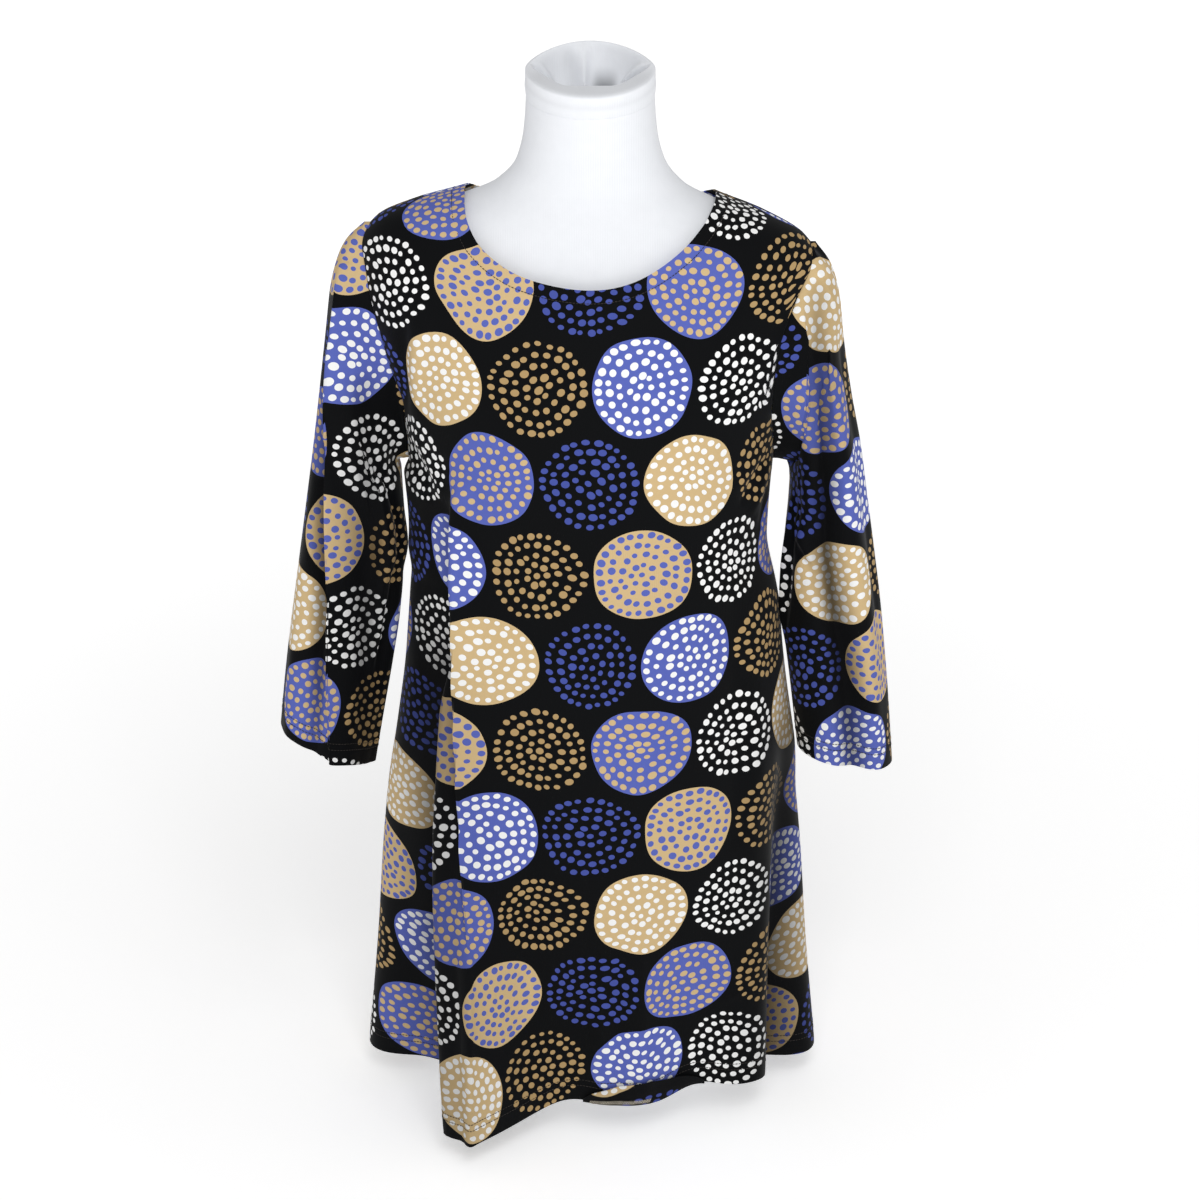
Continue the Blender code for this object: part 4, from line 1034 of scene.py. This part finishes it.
SLEEVE_ROWS, SLEEVE_COLUMNS, SLEEVE_FACE, FOLD_FADE_RINGS = 170, 240, 0.0018, 1.6
SEAM_RING, BLENDED_RINGS, BLENDED_EARLY, HELD_LENGTH = -0.12, 3.4, 1.2, 0.016
SKIP, ROUGH_ROUNDS, FINE_ROUNDS, SLEEVE_UV_TOP = 5, 3000, 220, 0.9


def sleeve_oval(side, read, ring, around):
    """Outer points of a sleeve at a ring of its table, by angle from the outer edge."""
    outer_x, outer_z, inner_x, inner_z, half_depth, centre_y = np.moveaxis(read(ring), -1, 0)
    sign = 1.0 if side == "left" else -1.0
    outer = np.stack([sign * outer_x, centre_y, outer_z], -1)
    inner = np.stack([sign * inner_x, centre_y, inner_z], -1)
    arm = (outer - inner) / 2.0
    cos, sin = np.cos(around)[..., None], np.sin(around)[..., None]
    front = np.array([0.0, -1.0, 0.0])
    point = (outer + inner) / 2.0 + arm * cos + half_depth[..., None] * sin * front
    out, along = unit(arm) * cos + front * sin, front * cos - unit(arm) * sin
    for path, half_width, depth, lean in SLEEVE_FOLDS[side]:
        path_rings, path_turns = zip(*path)
        lasting = (smooth(path_rings[0], path_rings[0] + FOLD_FADE_RINGS, ring)
                   * (1.0 - smooth(path_rings[-1] - FOLD_FADE_RINGS, path_rings[-1], ring)))
        centre = np.interp(ring, path_rings, path_turns)
        rise = (bell(np.degrees(around), centre, half_width) * lasting)[..., None]
        point = point + (out * depth + along * lean) / 1000.0 * rise
    return point


sleeves = {}
for side, outward, uv_shift in (("left", 1.0, 6.0), ("right", -1.0, 9.0)):
    runs = []
    for middle, normals, _ in (panels["back"], panels["front"]):
        edge = middle[-1] + normals[-1] * SLEEVE_FACE
        runs.append(edge[-ARMHOLE_STEPS - 1:] if side == "left" else edge[ARMHOLE_STEPS::-1])
    first = np.vstack([runs[0][::-1], runs[1][1:]])
    first = resampled(first, np.linspace(0.0, len(first) - 1.0, SLEEVE_COLUMNS + 1))
    around = np.linspace(-math.pi, math.pi, SLEEVE_COLUMNS + 1)
    rings = metres(SLEEVE_RINGS[side])
    read = curve_through(np.column_stack([np.arange(len(rings)), rings]))
    kept_from = first - sleeve_oval(side, read, 0.0 * around, around)
    # the first rings keep the armhole's form, and keep its reach outwards less long
    grid = [first]
    for ring in np.linspace(SEAM_RING, len(rings) - 1.0, SLEEVE_ROWS)[1:]:
        place = max(0.0, ring)
        keep_out = 1.0 - smooth(0.0, BLENDED_RINGS, place + BLENDED_EARLY)
        keep_out += (1.0 - keep_out) * (1.0 - smooth(SEAM_RING, 0.0, ring))
        keep_shape = 1.0 - smooth(0.0, BLENDED_RINGS, place)
        grid.append(sleeve_oval(side, read, np.full_like(around, place), around)
                    + kept_from * [keep_out, keep_shape, keep_shape])
    outer = np.array(grid)
    normals = grid_normals(outer, outward, tube=True)
    # painted shade in the deep troughs of the sleeve's creases
    sunk, free = np.zeros(outer.shape[:2]), smooth(0.0, HELD_LENGTH, run_lengths(outer))
    for front in (True, False):
        outer, trough = creased(outer, normals, front, SLEEVE_CREASES[side, front], free)
        sunk = np.maximum(sunk, trough)
    outer[..., 0] += side_swell(outer, "sleeve")
    normals = grid_normals(outer, outward, tube=True)
    middle = outer - normals * SLEEVE_FACE
    lengths, down_length = run_lengths(middle, 1), run_lengths(middle)
    marks = {"from_hem": down_length[-1:] - down_length, "from_neck": np.ones(lengths.shape),
             "from_seam": np.minimum(down_length, np.minimum(lengths, lengths[:, -1:] - lengths)),
             "sunk": sunk}
    mean_down = (down_length + down_length.mean(axis=1, keepdims=True)) / 2.0
    start = np.stack([lengths - lengths[:, SLEEVE_COLUMNS // 2, None], SLEEVE_UV_TOP - mean_down], -1)
    few = start[::SKIP, ::SKIP]
    shift = flattened(middle[::SKIP, ::SKIP], few, ROUGH_ROUNDS) - few
    j, i = np.arange(SLEEVE_ROWS)[:, None] / SKIP, np.arange(SLEEVE_COLUMNS + 1) / SKIP
    shift = np.stack([grid_value(shift[..., n], j, i) for n in (0, 1)], -1)
    uv = flattened(middle, start + shift, FINE_ROUNDS) + uv_shift
    sleeve = cloth_shell("tunic_sleeve_" + side, middle, normals, uv, marks, jersey,
                         tube=True, flip=side == "right")
    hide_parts("sleeve_" + side)
    width, length, area = SLEEVE_CUT[side]
    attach(sleeve, "root")
    sleeves[side] = (middle, normals, marks)


# ---- stitching -----------------------------------------------------------------------------
# The turned neck edge is topstitched once, and the hem and cuffs are coverstitched with a twin
# needle. The flipped allowance shows its raw edge, overlocked in cream and black thread.
STITCH_PITCH, STITCH_LENGTH, THREAD_WIDTH = 0.0029, 0.0028, 0.00080
OVERLOCK_PITCH, OVERLOCK_LENGTH, OVERLOCK_SLANT, OVERLOCK_ROW = 0.0015, 0.0062, 1.05, 2
OVERLOCK_FROM_X, OVERLOCK_TO_X = -0.004, 0.056


def thread(name, dark, light):
    """Spun polyester sewing thread: a matte yarn whose plies give it a slight fleck."""
    material, tree, shader = new_material(name, Roughness=0.7)
    place = add_node(tree, "ShaderNodeTexCoord", out="Object")
    fleck = add_node(tree, "ShaderNodeTexNoise", {"Vector": place, "Scale": 1500.0, "Detail": 1.0})
    colour = add_node(tree, "ShaderNodeMix", {0: fleck, 6: linear(dark), 7: linear(light)}, out=2,
                      data_type="RGBA")
    tree.links.new(colour, shader.inputs["Base Color"])
    return material


dark_thread = thread("dark_spun_polyester_thread", "15110f", "2c231d")
cream_thread = thread("cream_spun_polyester_thread", "b9ad92", "e9e2d0")

# one row of stitches along each line of a piece, lying on the cloth that the line faces away from
sewing = bpy.data.node_groups.new("row_of_stitches", "GeometryNodeTree")
for in_out in ("INPUT", "OUTPUT"):
    sewing.interface.new_socket("Geometry", in_out=in_out, socket_type="NodeSocketGeometry")
sewing_inputs = {}
for label, kind in (("Pitch", "Float"), ("Length", "Float"), ("Width", "Float"), ("Slant", "Float"),
                    ("Seed", "Int"), ("Thread", "Material")):
    socket = sewing.interface.new_socket(label, in_out="INPUT", socket_type="NodeSocket" + kind)
    sewing_inputs[label] = socket.identifier
given = add_node(sewing, "NodeGroupInput", out="Geometry").node.outputs
line = add_node(sewing, "GeometryNodeMeshToCurve", {"Mesh": given["Geometry"]}, out="Curve")
line = add_node(sewing, "GeometryNodeResampleCurve", {"Curve": line, "Length": given["Pitch"]},
                out="Curve", mode="LENGTH")
along = add_node(sewing, "GeometryNodeInputTangent", out="Tangent")
facing = add_node(sewing, "GeometryNodeInputNamedAttribute", {"Name": "facing"}, out="Attribute",
                  data_type="FLOAT_VECTOR")
turned = add_node(sewing, "FunctionNodeAlignRotationToVector", {"Vector": facing}, axis="Z")
turned = add_node(sewing, "FunctionNodeAlignRotationToVector", {"Rotation": turned, "Vector": along},
                  axis="X", pivot_axis="Z")
slant = add_node(sewing, "FunctionNodeEulerToRotation", {
    "Euler": ("ShaderNodeCombineXYZ", 0.0, 0.0, given["Slant"])})
turned = add_node(sewing, "FunctionNodeRotateRotation", {"Rotation": turned, "Rotate By": slant},
                  rotation_space="LOCAL")
size = add_node(sewing, "ShaderNodeCombineXYZ", given["Length"], given["Width"], given["Width"])
stitch = add_node(sewing, "GeometryNodeMeshUVSphere", {"Segments": 6, "Rings": 4, "Radius": 0.5},
                  out="Mesh")
stitch = add_node(sewing, "GeometryNodeTransform", {"Geometry": stitch, "Scale": size})
uneven = add_node(sewing, "FunctionNodeRandomValue", {2: 0.88, 3: 1.10, "Seed": given["Seed"]}, out=1,
                  data_type="FLOAT")
row = add_node(sewing, "GeometryNodeInstanceOnPoints", {"Points": line, "Instance": stitch,
                                                        "Rotation": turned, "Scale": uneven})
row = add_node(sewing, "GeometryNodeRealizeInstances", row)
row = add_node(sewing, "GeometryNodeSetMaterial", {"Geometry": row, "Material": given["Thread"]})
add_node(sewing, "NodeGroupOutput", {"Geometry": row})


def edge_run(piece, edge, distance):
    """A line on the cloth's outer face, at a distance from an edge, and the way that it faces."""
    middle, normals, marks = piece
    line = []
    for points, facing, away in zip(middle.swapaxes(0, 1), normals.swapaxes(0, 1), marks[edge].T):
        order = np.argsort(away)
        if away[order[0]] <= distance:
            values = np.hstack([points + facing * WALL_OUTSIDE, facing])[order]
            line.append(resampled(values, distance, away[order]))
    return np.array(line)


neck_rows = [edge_run(piece, "from_neck", NECK_LINE) for piece in panels.values()]
hem_rows, cuff_rows = ([edge_run(piece, "from_hem", away) for piece in pieces for away in TWIN_LINES]
                       for pieces in (panels.values(), sleeves.values()))
overlocked = (flipped_points + flipped_facing * WALL_OUTSIDE)[OVERLOCK_ROW]
bound = (overlocked[:, 0] > OVERLOCK_FROM_X) & (overlocked[:, 0] < OVERLOCK_TO_X)
raw_edge = [np.hstack([overlocked[bound], flipped_facing[OVERLOCK_ROW][bound]])]
for name, lines, pitch, length, slant, seed, material in (
        ("neck_topstitching", neck_rows, STITCH_PITCH, STITCH_LENGTH, 0.0, 1, dark_thread),
        ("hem_coverstitching", hem_rows, STITCH_PITCH, STITCH_LENGTH, 0.0, 2, dark_thread),
        ("cuff_coverstitching", cuff_rows, STITCH_PITCH, STITCH_LENGTH, 0.0, 3, dark_thread),
        ("overlock_looper_cream", raw_edge, OVERLOCK_PITCH, OVERLOCK_LENGTH, OVERLOCK_SLANT, 4,
         cream_thread),
        ("overlock_looper_dark", raw_edge, OVERLOCK_PITCH, OVERLOCK_LENGTH, -OVERLOCK_SLANT, 5,
         dark_thread)):
    mesh = bpy.data.meshes.new(name)
    points = np.vstack(lines)
    ends = np.cumsum([0] + [len(line) for line in lines])
    edges = [(k, k + 1) for a, b in zip(ends, ends[1:]) for k in range(a, b - 1)]
    mesh.from_pydata(points[:, :3].tolist(), edges, [])
    facing = mesh.attributes.new("facing", "FLOAT_VECTOR", "POINT")
    facing.data.foreach_set("vector", points[:, 3:].ravel())
    piece = add_object(name, mesh)
    modifier = piece.modifiers.new("stitches", "NODES")
    modifier.node_group = sewing
    for label, value in (("Pitch", pitch), ("Length", length), ("Width", THREAD_WIDTH),
                         ("Slant", slant), ("Seed", seed), ("Thread", material)):
        modifier[sewing_inputs[label]] = value
    evaluated = piece.evaluated_get(bpy.context.evaluated_depsgraph_get())
    sewn = bpy.data.meshes.new_from_object(evaluated)
    piece.modifiers.remove(modifier)
    piece.data = sewn
    sewn.name = name
    sewn.shade_smooth()
    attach(piece, "root")
